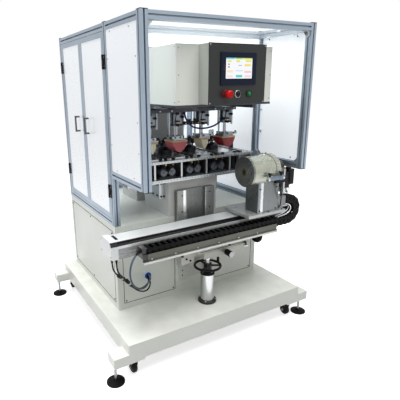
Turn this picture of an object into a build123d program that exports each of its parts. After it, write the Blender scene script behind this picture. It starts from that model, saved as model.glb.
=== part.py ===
# Four-colour pad printing machine: a guard frame of slotted profile on a steel cabinet,
# a head with four silicone pads over a print table, and a travelling rotary work head
# on a height-adjustable knee in front.
# Millimetres. +X is to the right of a person who faces the machine, +Y goes to its back,
# +Z is up. The origin is on the floor, under the middle of the machine's outline.
import math
import os

from build123d import *

os.makedirs("parts", exist_ok=True)

# General fits
seat_gap = 0.3          # between pieces that rest beside each other
run_gap = 0.06          # radial, for a shaft in its bore
slide_gap = 0.5         # between a slider and its way
overrun = 2.0           # how far a cut runs past a face
sheet = 3.0             # folded steel sheet

# Base: deck sheet, beams, corner stubs
deck_width = 1300.0
deck_depth = 1261.0
deck_top = 235.0
deck_sheet = 8.0
fascia_bottom = 132.0
beam_width = 50.0
stub_beyond = 90.0
stub_length = 182.0
stub_slant = 14.0
stub_depth = 98.0
stub_top = 178.6
stub_bottom = 118.3
cross_beam_x = 190.0
stub_reach = deck_width / 2 + stub_beyond
stub_inner = stub_reach - stub_length

# Feet and casters
foot_from_end = 22.0
foot_radius = 52.0
foot_rim = 6.0
foot_cone_top = 22.0
foot_neck_radius = 14.0
foot_stem_radius = 8.0
foot_stem_top = 165.0
foot_nut_height = 13.0
foot_nut_flats = 24.0
foot_bolt_radius = 6.5
foot_bolt_offset = 36.0
caster_from_inner = 42.0
caster_from_edge = 45.5
caster_trail = 22.0
caster_wheel_radius = 37.5
caster_wheel_width = 28.0
caster_lift = 8.0
caster_axle_radius = 6.0
caster_hub_radius = 17.0
caster_stem_radius = 6.0
caster_stem_length = 34.0
caster_head_radius = 27.0
caster_head_height = 9.0
caster_cheek = 3.5
caster_tread_edge = 6.0
foot_x = stub_reach - foot_from_end
foot_y = (deck_depth - stub_depth) / 2
caster_x = stub_inner + caster_from_inner
caster_y = deck_depth / 2 - caster_from_edge

# Cabinet
cabinet_half = 555.0
cabinet_front = 271.0
cabinet_back = 617.0
cabinet_top = 797.0
cabinet_wall = 4.0
cover_margin = 40.0
cover_depth = 2.0
cover_gap = 1.0
grommet_x = -344.0
grommet_z = 426.0
grommet_radius = 22.0
grommet_bore = 14.5
grommet_proud = 6.0

# Guard frame of slotted profile, reaching forward of the deck's middle
guard_front = 690.0
panel_proud = 1.0
profile = 40.0
slot_mouth = 8.2
slot_lip = 4.5
slot_wide = 20.0
slot_deep = 12.0
slot_bottom = 9.0
frame_proud = 1.0
frame_half = cabinet_half + frame_proud
frame_top = 1940.0
cap_height = 4.0
hung_bottom = 1099.0
frame_mid_front = 271.0
frame_back = 616.0
panel_sheet = 5.0
panel_inset = 3.0
roof_sheet = 4.0
strip_bottom = 1822.0

# Doors
door_sheet = 4.0
door_bar = 28.0
door_thick = 20.0
door_gap = 2.0
hinge_height = 76.0
hinge_width = 22.0
hinge_plate = 4.0
hinge_knuckle_radius = 6.0
hinge_pin_radius = 3.0
hinge_low_z = 1012.0
hinge_high_z = 1738.0
handle_length = 105.0
handle_radius = 6.0
handle_stand = 28.0
handle_offset = 90.0
handle_z = 1370.0

# Columns inside
pedestal_half = 185.0
pedestal_back = 60.0
pedestal_top = 1030.0
column_half = 200.0
column_front = 160.0
column_back = 420.0

# Print table
table_half = 475.0
table_front = 300.0
table_back = 140.0
table_top = 1164.0
table_top_sheet = 15.0
table_low_sheet = 20.0
divider = 12.0
pad_pitch = 190.0
bracket_block = (40.0, 110.0, 120.0)
bracket_from_front = 45.0

# Printing plates and ink cups
plate_width = 150.0
plate_length = 250.0
plate_thick = 10.0
plate_front = 268.0
cup_radius = 46.0
cup_height = 34.0
cup_from_front = 190.0
bridge_height = 82.0
bridge_width = 30.0
bridge_thick = 15.0
bridge_post = 18.0
stud_radius = 8.0

# Head
head_half = 320.0
head_front = 600.0
head_back = 420.0
head_bottom = 1510.0
head_top = 1810.0
head_edge = 4.0
under_plate = 12.0
under_inset = 1.5
rail_x = 200.0
rail_width = 24.0
rail_height = 18.0
box_half = 186.0
box_bottom = 1511.0
box_top = 1811.0
box_front_plate = 3.0
screen_width = 230.0
screen_height = 163.0
screen_z = 1687.0
screen_proud = 8.0
screen_body_inset = 8.0
screen_body_depth = 40.0
glass_width = 172.0
glass_height = 102.0
glass_z = 1690.0
glass_sink = 1.5
button_z = 1562.0
button_pitch = 75.0
collar_radius = 17.0
collar_height = 4.0
collar_body_radius = 11.0
collar_body_depth = 45.0
button_radius = 9.5
button_proud = 12.0
button_travel = 3.0
stop_radius = 20.0
stop_stem_radius = 10.5
stop_head = 16.0
stop_edge = 6.0
stop_reach = 42.0
stop_travel = 5.0
button_bore_depth = 30.0

# Pad carriage and rams
pad_y = 218.0
carriage_half = 330.0
carriage_depth = 124.0
carriage_plate = 20.0
runner_length = 90.0
runner_width = 50.0
runner_height = 26.0
cylinder_side = 66.0
cylinder_length = 84.0
cylinder_edge = 6.0
ram_radius = 10.0
guide_radius = 6.0
guide_offset = 24.0
ram_gap_below = 62.0
ram_in_bore = 20.0
ram_block = (62.0, 70.0, 18.0)
ram_foot = (84.0, 84.0, 8.0)
board_thick = 10.0
board_rim = 2.0
pad_clear_plate = 26.0
red_pad = (105.0, 100.0, 65.0)
cream_pad = (44.0, 96.0, 60.0)
cream_board = 72.0

# Vertical slide way on the cabinet's front
way_half = 141.0
way_bottom = 348.0
way_top = 968.0
way_back_sheet = 18.0
way_bar = 70.0
way_bar_thick = 22.0
way_bolt_radius = 6.0
way_bolt_sink = 5.0

# Jack
jack_y = 447.0
jack_radius = 44.5
jack_bore = 20.0
jack_top = 439.0
jack_flange_radius = 60.0
jack_flange = 12.0
jack_bolt_radius = 5.0
jack_bolt_head = 8.0
wheel_hub_radius = 26.0
wheel_hub_height = 62.0
wheel_rim_radius = 83.0
wheel_rim_tube = 8.0
wheel_spoke_radius = 6.0
wheel_knob_radius = 9.0
wheel_knob_height = 34.0
screw_radius = 14.0
screw_bottom = 285.0

# Knee
saddle_half = 150.0
saddle_thick = 32.0
saddle_bottom = 470.0
saddle_top = 700.0
bracket_left = -187.0
bracket_inner = -132.0
bracket_toe = -92.0
bracket_front = 430.0
bracket_bottom = 521.0
bracket_top = 690.0
bracket_step = 600.0
bracket_chamfer = 34.0
bracket_slot = (6.0, 34.0, 12.0)
ledge_left = -64.0
ledge_right = 225.0
ledge_front = 500.0
ledge_bottom = 560.0
ledge_top = 602.0
cross_left = -112.0
cross_right = 291.0
cross_bottom = 603.0
cross_top = 652.0
cross_back = 352.0
riser_left = -80.0
riser_right = 250.0
riser_inset = 14.0
knob_x = 100.0
knob_z = 581.0
knob_radius = 20.0
knob_length = 52.0
knob_stem_radius = 8.0
knob_stem = 14.0
cross_wheel_x = 396.0
cross_wheel_radius = 64.0
cross_wheel_web = 10.0
cross_wheel_rim = 20.0
cross_wheel_rim_in = 50.0
cross_shaft_radius = 9.0
cross_shaft_in = 40.0
cross_wheel_y = 450.0

# Linear module
module_front = 518.0
module_back = 358.0
module_bottom = 705.0
module_top = 800.0
module_half = 640.0
module_cap = 40.0
module_chamfer = 20.0
cap_extra = 2.0
cap_rise = 6.0
cap_chamfer = 26.0
module_slot = 7.0
module_slot_in = 10.0
module_slot_floor = 768.0
module_groove = 8.0
module_groove_depth = 6.0

# Chain tray and energy chain
tray_left = -530.4
tray_right = 443.0
tray_front = 592.0
tray_sheet = 3.0
tray_rise = 22.0
tray_drop = 16.0
tray_lip = 8.0
chain_height = 56.0
chain_width = 55.0
chain_pitch = 37.5
chain_front = 585.0
chain_floor_gap = 0.4
chain_loop_x = 551.0
chain_links_low = 28
chain_links_loop = 6
chain_links_high = 1
chain_plate = 3.0
chain_bar = 14.0
chain_bar_thick = 2.4
chain_gap = 0.4
chain_bracket = 31.0

# Work carriage, rotary work head and its drive
carrier_left = 186.0
carrier_right = 490.0
carrier_front = 615.0
carrier_back = 372.0
carrier_bottom = 812.0
carrier_thick = 18.0
carrier_block_left = 262.0
carrier_block_right = 440.0
carrier_leg_bottom = 772.0
carrier_slot_pitch_x = 36.0
carrier_slot_pitch_y = 150.0
carrier_slot_radius = 4.5
carrier_slot_length = 24.0
post_left = 262.0
post_right = 430.0
post_front = 600.0
post_back = 486.0
post_top = 1040.0
work_y = 540.0
work_z = 1093.0
work_left = 206.0
work_seam = 372.0
work_flange_right = 409.0
work_right = 484.0
work_radius = 92.0
work_flange_radius = 98.0
work_neck_radius = 46.0
work_edge = 5.0
face_radius = 93.0
face_thick = 10.0
face_shaft_radius = 24.0
face_shaft_length = 60.0
face_bore_radius = 12.0
face_bolt_pcd = 130.0
face_bolt_radius = 4.25
face_bolt_count = 6
drive_plate = 12.0
drive_plate_half = 46.0
drive_plate_top = 1088.0
drive_plate_bottom = 932.0
motor_size = 64.0
motor_bottom = 955.0
motor_top = 1062.0
motor_length = 62.0
motor_edge = 8.0
motor_ring_radius = 20.0
motor_ring = 8.0
fitting_radius = 16.0
fitting_length = 44.0
index_radius = 13.0
index_left = 292.0
index_length = 118.0
index_rod_radius = 5.0
index_rod = 30.0
index_gap = 8.0
index_block = 26.0
index_drop = 35.0

# Cords
lead_radius = 4.5
chain_lead_radius = 5.5
cord_bend_share = 0.45

# The frame's middle lies half way from the stop button's face to the rear feet's rims
mid_y = (guard_front + panel_proud + stop_reach - foot_y - foot_radius) / 2

# Levels and places that follow
front_y = mid_y - deck_depth / 2
back_y = mid_y + deck_depth / 2
cabinet_front_y = mid_y - cabinet_front
cabinet_back_y = mid_y + cabinet_back
frame_front_y = mid_y - guard_front
frame_mid_y = mid_y - frame_mid_front
frame_back_y = mid_y + frame_back
table_front_y = mid_y - table_front
table_back_y = mid_y + table_back
head_front_y = mid_y - head_front
head_back_y = mid_y + head_back
box_front_y = frame_front_y - panel_proud
pad_mid_y = mid_y - pad_y
module_front_y = mid_y - module_front
module_back_y = mid_y - module_back
work_mid_y = mid_y - work_y
jack_mid_y = mid_y - jack_y
way_front_y = cabinet_front_y - way_back_sheet - way_bar_thick
saddle_back_y = way_front_y - slide_gap
carriage_top = head_bottom - under_plate - runner_height - slide_gap
carriage_bottom = carriage_top - carriage_plate
cylinder_bottom = carriage_bottom - cylinder_length
ram_block_top = cylinder_bottom - ram_gap_below
board_top = ram_block_top - ram_block[2] - ram_foot[2]
pad_top = board_top - board_thick
frame_head = frame_top - cap_height
post_mid = frame_half - profile / 2


def block(x, y, z, mode=Mode.ADD):
    """A block between two limits along each axis."""
    with BuildSketch(Plane.XY.offset(z[0])) as outline:
        with Locations(((x[0] + x[1]) / 2, (y[0] + y[1]) / 2)):
            Rectangle(x[1] - x[0], y[1] - y[0])
    extrude(outline.sketch, amount=z[1] - z[0], mode=mode)


def round_x(y, z, x, radius, mode=Mode.ADD):
    """A round bar along X, between two limits."""
    with BuildSketch(Plane.YZ.offset(x[0])) as outline:
        with Locations((y, z)):
            Circle(radius)
    extrude(outline.sketch, amount=x[1] - x[0], mode=mode)


def round_y(x, z, y, radius, mode=Mode.ADD):
    """A round bar along Y, between two limits."""
    with BuildSketch(Plane.XZ.offset(-y[1])) as outline:
        with Locations((x, z)):
            Circle(radius)
    extrude(outline.sketch, amount=y[1] - y[0], mode=mode)


def round_z(x, y, z, radius, mode=Mode.ADD):
    """A round bar along Z, between two limits."""
    with BuildSketch(Plane.XY.offset(z[0])) as outline:
        with Locations((x, y)):
            Circle(radius)
    extrude(outline.sketch, amount=z[1] - z[0], mode=mode)


def side_profile(points, x, mode=Mode.ADD):
    """An outline in Y and Z, drawn out along X between two limits."""
    with BuildSketch(Plane.YZ.offset(x[0])) as outline:
        with BuildLine():
            Polyline(*points, close=True)
        make_face()
    extrude(outline.sketch, amount=x[1] - x[0], mode=mode)


def front_profile(points, y, mode=Mode.ADD):
    """An outline in X and Z, drawn out along Y between two limits."""
    with BuildSketch(Plane.XZ.offset(-y[1])) as outline:
        with BuildLine():
            Polyline(*points, close=True)
        make_face()
    extrude(outline.sketch, amount=y[1] - y[0], mode=mode)


def save(piece, label):
    """Name a finished piece and write it."""
    piece.part.label = label
    export_step(piece.part, "parts/" + label + ".step")


def tube(points, radius):
    """A cord's tube: straight runs joined by arcs as large as the runs allow."""
    nodes = [Vector(*p) for p in points]
    runs = [b - a for a, b in zip(nodes, nodes[1:])]
    radii = []
    for before, after in zip(runs, runs[1:]):
        half_turn = math.radians(before.get_angle(after)) / 2
        shorter = min(before.length, after.length)
        radii.append(cord_bend_share * shorter / math.tan(half_turn))
    with BuildLine() as path:
        FilletPolyline(*nodes, radius=radii)
    with BuildSketch(Plane(origin=path.line @ 0, z_dir=path.line % 0)) as section:
        Circle(radius)
    sweep(section.sketch, path=path.line)
    length = sum(edge.length for edge in path.edges())
    print("cord", round(length), "mm long, radii", [round(r) for r in radii])
    return length


# Base
def make_base():
    half = deck_width / 2
    beam_end = stub_inner - stub_slant
    with BuildPart() as base:
        block((-half, half), (front_y, back_y), (deck_top - deck_sheet, deck_top))
        beam_z = (fascia_bottom, deck_top - deck_sheet - seat_gap)
        for y in (front_y, back_y - beam_width):
            block((-beam_end + seat_gap, beam_end - seat_gap), (y, y + beam_width), beam_z)
        side_y = (front_y + stub_depth + seat_gap, back_y - stub_depth - seat_gap)
        for x in (-half, half - beam_width):
            block((x, x + beam_width), side_y, beam_z)
        inner_y = (front_y + beam_width + seat_gap, back_y - beam_width - seat_gap)
        for x in (-cross_beam_x, cross_beam_x):
            block((x - beam_width / 2, x + beam_width / 2), inner_y, beam_z)
        for side in (-1, 1):
            corner = [(side * stub_inner, stub_bottom), (side * stub_reach, stub_bottom),
                      (side * stub_reach, stub_top), (side * half, stub_top),
                      (side * half, beam_z[1]), (side * beam_end, beam_z[1]),
                      (side * beam_end, fascia_bottom)]
            for y in (front_y, back_y - stub_depth):
                front_profile(corner, (y, y + stub_depth))
            for y in (mid_y - foot_y, mid_y + foot_y):
                round_z(side * foot_x, y, (stub_bottom - overrun, foot_stem_top + overrun),
                        foot_stem_radius + seat_gap, Mode.SUBTRACT)
            for y in (mid_y - caster_y, mid_y + caster_y):
                round_z(side * caster_x, y,
                        (stub_bottom - overrun, stub_bottom + caster_stem_length + overrun),
                        caster_stem_radius + run_gap, Mode.SUBTRACT)
    save(base, "base")


def make_levelling_feet():
    foot_outline = [(0, 0), (foot_radius, 0), (foot_radius, foot_rim),
                    (foot_neck_radius + foot_rim, foot_cone_top - foot_rim),
                    (foot_neck_radius, foot_cone_top), (foot_stem_radius, foot_cone_top),
                    (foot_stem_radius, foot_stem_top), (0, foot_stem_top)]
    with BuildPart() as feet:
        for side_x in (-1, 1):
            for side_y in (-1, 1):
                x, y = side_x * foot_x, mid_y + side_y * foot_y
                with BuildSketch(Plane(origin=(x, y, 0), x_dir=(1, 0, 0), z_dir=(0, -1, 0))):
                    with BuildLine():
                        Polyline(*foot_outline, close=True)
                    make_face()
                revolve(axis=Axis((x, y, 0), (0, 0, 1)))
                nut_bottom = stub_bottom - seat_gap - foot_nut_height
                with BuildSketch(Plane.XY.offset(nut_bottom)):
                    with Locations((x, y)):
                        RegularPolygon(foot_nut_flats / 2, 6, major_radius=False)
                extrude(amount=foot_nut_height)
                round_z(x, y - side_y * foot_bolt_offset, (-overrun, foot_cone_top),
                        foot_bolt_radius, Mode.SUBTRACT)
    save(feet, "levelling_feet")


def make_caster(number, side_x, side_y):
    x, y = side_x * caster_x, mid_y + side_y * caster_y
    axle_y, axle_z = y + caster_trail, caster_lift + caster_wheel_radius
    head_z = stub_bottom - seat_gap
    cheek_x = caster_wheel_width / 2 + slide_gap
    with BuildPart() as fork:
        round_z(x, y, (head_z - caster_head_height, head_z), caster_head_radius)
        round_z(x, y, (head_z, head_z + caster_stem_length), caster_stem_radius)
        cheek = [(y - caster_head_radius / 2, head_z - caster_head_height),
                 (y + caster_head_radius, head_z - caster_head_height),
                 (axle_y + caster_hub_radius, axle_z), (axle_y, axle_z - caster_hub_radius),
                 (axle_y - caster_hub_radius, axle_z)]
        for inner in (x - cheek_x - caster_cheek, x + cheek_x):
            side_profile(cheek, (inner, inner + caster_cheek))
        round_x(axle_y, axle_z, (x - cheek_x - caster_cheek - overrun, x + cheek_x + caster_cheek
                                 + overrun), caster_axle_radius)
    save(fork, "caster_fork_" + number)
    with BuildPart() as wheel:
        round_x(axle_y, axle_z, (x - caster_wheel_width / 2, x + caster_wheel_width / 2),
                caster_wheel_radius)
        chamfer(wheel.edges().filter_by(GeomType.CIRCLE), caster_tread_edge)
        round_x(axle_y, axle_z, (x - caster_wheel_width, x + caster_wheel_width),
                caster_axle_radius + run_gap, Mode.SUBTRACT)
    save(wheel, "caster_wheel_" + number)


# Cabinet
def make_cabinet():
    half = cabinet_half
    with BuildPart() as cabinet:
        block((-half, half), (cabinet_front_y, cabinet_back_y), (deck_top, cabinet_top))
        block((-half + cabinet_wall, half - cabinet_wall),
              (cabinet_front_y + cabinet_wall, cabinet_back_y - cabinet_wall),
              (deck_top - overrun, cabinet_top - cabinet_wall), Mode.SUBTRACT)
        z = (deck_top + cover_margin, cabinet_top - cover_margin)
        block((-half + cover_margin, half - cover_margin),
              (cabinet_front_y - overrun, cabinet_front_y + cover_depth), z, Mode.SUBTRACT)
        y = (cabinet_front_y + cover_margin, cabinet_back_y - cover_margin)
        for x in (-half - overrun, half - cover_depth):
            block((x, x + cover_depth + overrun), y, z, Mode.SUBTRACT)
        round_y(grommet_x, grommet_z, (cabinet_front_y - overrun, cabinet_front_y + cover_margin),
                grommet_bore + sheet + run_gap, Mode.SUBTRACT)
    save(cabinet, "cabinet")


def make_access_covers():
    half = cabinet_half
    edge = cover_margin + cover_gap
    z = (deck_top + edge, cabinet_top - edge)
    with BuildPart() as covers:
        way = (way_half + cover_gap, cabinet_half - edge)
        for side in (-1, 1):
            x = sorted((side * way[0], side * way[1]))
            block(x, (cabinet_front_y, cabinet_front_y + cover_depth), z)
        y = (cabinet_front_y + edge, cabinet_back_y - edge)
        block((-half, -half + cover_depth), y, z)
        block((half - cover_depth, half), y, z)
        round_y(grommet_x, grommet_z, (cabinet_front_y - overrun, cabinet_front_y + cover_margin),
                grommet_bore + sheet + run_gap, Mode.SUBTRACT)
    save(covers, "access_covers")


def make_grommet():
    neck_back = cabinet_front_y + cabinet_wall + sheet
    with BuildPart() as grommet:
        round_y(grommet_x, grommet_z, (cabinet_front_y - grommet_proud, cabinet_front_y),
                grommet_radius)
        chamfer(grommet.edges().filter_by(GeomType.CIRCLE).sort_by(Axis.Y)[0], sheet)
        round_y(grommet_x, grommet_z, (cabinet_front_y, neck_back), grommet_bore + sheet)
        round_y(grommet_x, grommet_z, (cabinet_front_y - grommet_radius, neck_back + overrun),
                grommet_bore, Mode.SUBTRACT)
    save(grommet, "cable_grommet")


# Guard frame
def slotted_outline():
    """Square profile with a T-slot in each side."""
    Rectangle(profile, profile)
    with PolarLocations(profile / 2, 4):
        mouth, wide, low = slot_mouth / 2, slot_wide / 2, slot_bottom / 2
        Polygon((overrun, mouth), (-slot_lip, mouth), (-slot_lip, wide), (-slot_deep, low),
                (-slot_deep, -low), (-slot_lip, -wide), (-slot_lip, -mouth), (overrun, -mouth),
                align=None, mode=Mode.SUBTRACT)


def profile_bar(start, direction, length):
    """One cut length of the slotted profile."""
    across = (0, 1, 0) if direction[0] else (1, 0, 0)
    with BuildSketch(Plane(origin=start, x_dir=across, z_dir=direction)) as outline:
        slotted_outline()
    extrude(outline.sketch, amount=length)


def post_places():
    """Middle of each upright, with its lower end."""
    rows = ((frame_front_y + profile / 2, hung_bottom + cap_height),
            (frame_mid_y + profile / 2, cabinet_top),
            (frame_back_y - profile / 2, cabinet_top))
    return [(side * post_mid, y, low) for y, low in rows for side in (-1, 1)]


def make_guard_posts():
    with BuildPart() as posts:
        for x, y, low in post_places():
            profile_bar((x, y, low), (0, 0, 1), frame_head - low)
    save(posts, "guard_posts")


def make_guard_rails():
    inner = post_mid - profile / 2 - seat_gap / 2
    front_bay = (frame_front_y + profile, frame_mid_y)
    rear_bay = (frame_mid_y + profile, frame_back_y - profile)
    top_z = frame_head - profile / 2
    with BuildPart() as rails:
        for y in (frame_front_y + profile / 2, frame_mid_y + profile / 2,
                  frame_back_y - profile / 2):
            profile_bar((-inner, y, top_z), (1, 0, 0), 2 * inner)
        profile_bar((-inner, frame_back_y - profile / 2, cabinet_top + profile / 2),
                    (1, 0, 0), 2 * inner)
        for x in (-post_mid, post_mid):
            for bay, z in ((front_bay, top_z), (rear_bay, top_z),
                           (front_bay, hung_bottom + profile / 2),
                           (rear_bay, cabinet_top + profile / 2)):
                profile_bar((x, bay[0] + seat_gap / 2, z), (0, 1, 0),
                            bay[1] - bay[0] - seat_gap)
    save(rails, "guard_rails")


def hinge_rows():
    """Pin line of each door, and the way from it to the door."""
    return ((frame_mid_y + profile + door_gap / 2, 1), (frame_back_y - profile - door_gap / 2, -1))


def pin_x():
    return -frame_half - hinge_plate - hinge_pin_radius


def hinge_leaf(pin_y, way, z, knuckles):
    """A flat leaf on one side of the pin, with knuckles round the pin."""
    y = sorted((pin_y + way * seat_gap, pin_y + way * hinge_width))
    low, high = z - hinge_height / 2, z + hinge_height / 2
    block((-frame_half - hinge_plate, -frame_half), y, (low, high))
    third = hinge_height / 3
    block((pin_x() - hinge_knuckle_radius, -frame_half + overrun),
          sorted((pin_y - way * hinge_knuckle_radius * 2, pin_y + way * (hinge_knuckle_radius * 2))),
          (low + third, high - third) if knuckles == "ends" else (low, low + third),
          Mode.SUBTRACT)
    if knuckles == "middle":
        block((pin_x() - hinge_knuckle_radius, -frame_half + overrun),
              sorted((pin_y - way * hinge_knuckle_radius * 2,
                      pin_y + way * (hinge_knuckle_radius * 2))),
              (high - third, high), Mode.SUBTRACT)
    spans = ([(low, low + third - seat_gap / 2), (high - third + seat_gap / 2, high)]
             if knuckles == "ends" else [(low + third + seat_gap / 2, high - third - seat_gap / 2)])
    for span in spans:
        round_z(pin_x(), pin_y, span, hinge_knuckle_radius)


def make_caps_and_hinges():
    with BuildPart() as fittings:
        for x, y, low in post_places():
            tops = [frame_head]
            if low < cabinet_top or low > cabinet_top:
                tops.append(low - cap_height)
            for z in tops:
                block((x - profile / 2, x + profile / 2), (y - profile / 2, y + profile / 2),
                      (z, z + cap_height))
        for pin_y, way in hinge_rows():
            for z in (hinge_low_z, hinge_high_z):
                hinge_leaf(pin_y, -way, z, "ends")
                round_z(pin_x(), pin_y, (z - hinge_height / 2, z + hinge_height / 2),
                        hinge_pin_radius)
    save(fittings, "caps_and_hinges")


def make_guard_panels():
    outer = frame_half - panel_inset
    front_y_span = (frame_front_y + profile + seat_gap, frame_mid_y - seat_gap)
    rear_y_span = (frame_mid_y + profile + seat_gap, frame_back_y - profile - seat_gap)
    under_top = frame_head - profile - seat_gap
    hung_z = (hung_bottom + profile + seat_gap, under_top)
    rear_z = (cabinet_top + profile + seat_gap, under_top)
    inner = frame_half - profile - seat_gap
    with BuildPart() as panels:
        block((-outer, -outer + panel_sheet), front_y_span, hung_z)
        block((outer - panel_sheet, outer), front_y_span, hung_z)
        block((outer - panel_sheet, outer), rear_y_span, rear_z)
        back = frame_back_y - panel_inset
        block((-inner, inner), (back - panel_sheet, back), rear_z)
        strip = frame_mid_y + panel_inset
        block((-inner, inner), (strip, strip + panel_sheet), (strip_bottom, under_top))
        roof_z = (under_top - roof_sheet, under_top)
        block((-inner, inner), (frame_front_y + profile / 2, strip - seat_gap), roof_z)
    save(panels, "guard_panels")


# Doors of the left service bay
def door_spans():
    low_y, high_y = frame_mid_y + profile + door_gap, frame_back_y - profile - door_gap
    split = (low_y + high_y) / 2
    return (("front", low_y, split - door_gap / 2, 1, 0), ("rear", split + door_gap / 2, high_y, -1, 1))


def make_door(name, y0, y1, way, row):
    z0 = cabinet_top + profile + door_gap
    z1 = frame_head - profile - door_gap
    x0, x1 = -frame_half, -frame_half + door_thick
    inner_y = (y0 + door_bar, y1 - door_bar)
    inner_z = (z0 + door_bar, z1 - door_bar)
    pin_y = hinge_rows()[row][0]
    with BuildPart() as frame:
        for y in ((y0, inner_y[0]), (inner_y[1], y1)):
            block((x0, x1), y, (z0, z1))
        for z in ((z0, inner_z[0]), (inner_z[1], z1)):
            block((x0, x1), (inner_y[0] + seat_gap, inner_y[1] - seat_gap), z)
        for z in (hinge_low_z, hinge_high_z):
            hinge_leaf(pin_y, way, z, "middle")
            round_z(pin_x(), pin_y, (z - hinge_height / 2, z + hinge_height / 2),
                    hinge_pin_radius + run_gap, Mode.SUBTRACT)
    save(frame, name + "_door_frame")
    meeting = y1 if way > 0 else y0
    handle_y = meeting - way * handle_offset
    panel_x = (x0 + panel_inset, x0 + panel_inset + door_sheet)
    bar_x = x0 - handle_stand
    grip = (handle_z - handle_length / 2, handle_z + handle_length / 2)
    with BuildPart() as panel:
        block(panel_x, (inner_y[0] + seat_gap, inner_y[1] - seat_gap),
              (inner_z[0] + seat_gap, inner_z[1] - seat_gap))
        round_z(bar_x, handle_y, grip, handle_radius)
        for z in (grip[0] + handle_radius, grip[1] - handle_radius):
            round_x(handle_y, z, (bar_x, panel_x[0] - seat_gap), handle_radius)
    save(panel, name + "_door_panel")


# Columns inside the guard
def make_columns():
    with BuildPart() as columns:
        block((-pedestal_half, pedestal_half), (cabinet_front_y, mid_y + pedestal_back),
              (cabinet_top, pedestal_top))
        block((-pedestal_half + sheet * 2, pedestal_half - sheet * 2),
              (cabinet_front_y + sheet * 2, mid_y + pedestal_back - sheet * 2),
              (cabinet_top - overrun, pedestal_top - sheet * 2), Mode.SUBTRACT)
        column_y = (mid_y + column_front, mid_y + column_back)
        column_z = (cabinet_top, head_bottom - under_plate)
        block((-column_half, column_half), column_y, column_z)
        block((-column_half + sheet * 2, column_half - sheet * 2),
              (column_y[0] + sheet * 2, column_y[1] - sheet * 2),
              (cabinet_top - overrun, column_z[1] - sheet * 2), Mode.SUBTRACT)
    save(columns, "machine_columns")


# Print table
def bay_middles():
    return [pad_pitch * step for step in (-2, -1, 0, 1, 2)]


def pad_places():
    return [pad_pitch * step / 2 for step in (-3, -1, 1, 3)]


def make_print_table():
    low_z = (pedestal_top, pedestal_top + table_low_sheet)
    high_z = (table_top - table_top_sheet, table_top)
    gap = seat_gap
    with BuildPart() as table:
        block((-table_half, table_half), (table_front_y, table_back_y), low_z)
        block((-table_half, table_half), (table_front_y, table_back_y), high_z)
        edges = [-table_half + divider / 2] + pad_places() + [table_half - divider / 2]
        for x in edges:
            block((x - divider / 2, x + divider / 2), (table_front_y + divider, table_back_y),
                  (low_z[1] + gap, high_z[0] - gap))
        width, depth, height = bracket_block
        start = cabinet_front_y + bracket_from_front
        for side in (-1, 1):
            near = side * (pedestal_half + gap)
            x = sorted((near, near + side * width))
            block(x, (start, start + depth), (pedestal_top - gap - height, pedestal_top - gap))
    save(table, "print_table")


def make_shuttle_cylinders():
    floor = pedestal_top + table_low_sheet + seat_gap
    start = table_front_y + divider * 2
    half = pad_pitch * 0.3
    with BuildPart() as cylinders:
        for x in bay_middles()[:4]:
            y = (start, start + 2 * pad_pitch)
            block((x - half, x + half), y, (floor, floor + divider))
            for offset in (-half / 2, half / 2):
                round_y(x + offset, floor + divider + half / 2, y, half / 2 - seat_gap)
        x = bay_middles()[4] - half / 2
        block((x - half / 3, x + half / 3), (start, start + pad_pitch),
              (floor, table_top - table_top_sheet - seat_gap))
    save(cylinders, "shuttle_cylinders")


def make_printing_plates():
    low = table_top + seat_gap
    y0 = mid_y - plate_front
    with BuildPart() as plates:
        for x in pad_places():
            block((x - plate_width / 2, x + plate_width / 2), (y0, y0 + plate_length),
                  (low, low + plate_thick))
        chamfer(plates.edges().filter_by(Axis.Z), overrun)
    save(plates, "printing_plates")


def make_ink_cups():
    cup_y = mid_y - plate_front + cup_from_front
    cup_z = table_top + seat_gap + plate_thick + seat_gap
    beam_z = table_top + bridge_height
    end_x = table_half - bridge_post
    with BuildPart() as cups:
        for x in pad_places():
            round_z(x, cup_y, (cup_z, cup_z + cup_height), cup_radius)
            round_z(x, cup_y, (cup_z + cup_height, beam_z - seat_gap), stud_radius)
        rims = cups.edges().filter_by(GeomType.CIRCLE).filter_by(
            lambda e: abs(e.radius - cup_radius) < seat_gap)
        chamfer(rims.filter_by(lambda e: e.center().Z > cup_z + cup_height / 2), cup_height / 4)
        block((-end_x - bridge_post / 2, end_x + bridge_post / 2),
              (cup_y - bridge_width / 2, cup_y + bridge_width / 2),
              (beam_z, beam_z + bridge_thick))
        for x in (-end_x, end_x):
            block((x - bridge_post / 2, x + bridge_post / 2),
                  (cup_y - bridge_width / 2, cup_y + bridge_width / 2),
                  (table_top, beam_z - seat_gap))
    save(cups, "ink_cups")


# Head
def make_head():
    half = head_half
    with BuildPart() as head:
        block((-half, half), (head_front_y, head_back_y), (head_bottom, head_top))
        chamfer(head.edges().filter_by(Axis.Z), head_edge)
        block((-half + sheet, half - sheet), (head_front_y + sheet, head_back_y - sheet),
              (head_bottom - overrun, head_top - sheet), Mode.SUBTRACT)
    save(head, "head_housing")


def make_head_slide():
    top = head_bottom - under_plate
    y = (head_front_y + under_inset, head_back_y - under_inset)
    rail_end = column_front - under_inset * 2
    with BuildPart() as slide:
        block((-head_half + under_inset, head_half - under_inset), y, (top, head_bottom))
        for x in (-rail_x, rail_x):
            block((x - rail_width / 2, x + rail_width / 2),
                  (y[0] + under_inset, mid_y + rail_end), (top - rail_height, top))
    save(slide, "head_slide")


def button_places():
    return (-button_pitch, 0.0, button_pitch)


def make_control_box():
    y = (box_front_y + box_front_plate, head_front_y)
    with BuildPart() as box:
        inset = sheet / 2
        x = box_half - inset
        block((-x, x), y, (box_bottom + inset, box_top - inset))
        block((-x + sheet, x - sheet), (y[0] - overrun, y[1] - sheet),
              (box_bottom + inset + sheet, box_top - inset - sheet), Mode.SUBTRACT)
    save(box, "control_box")


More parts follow.
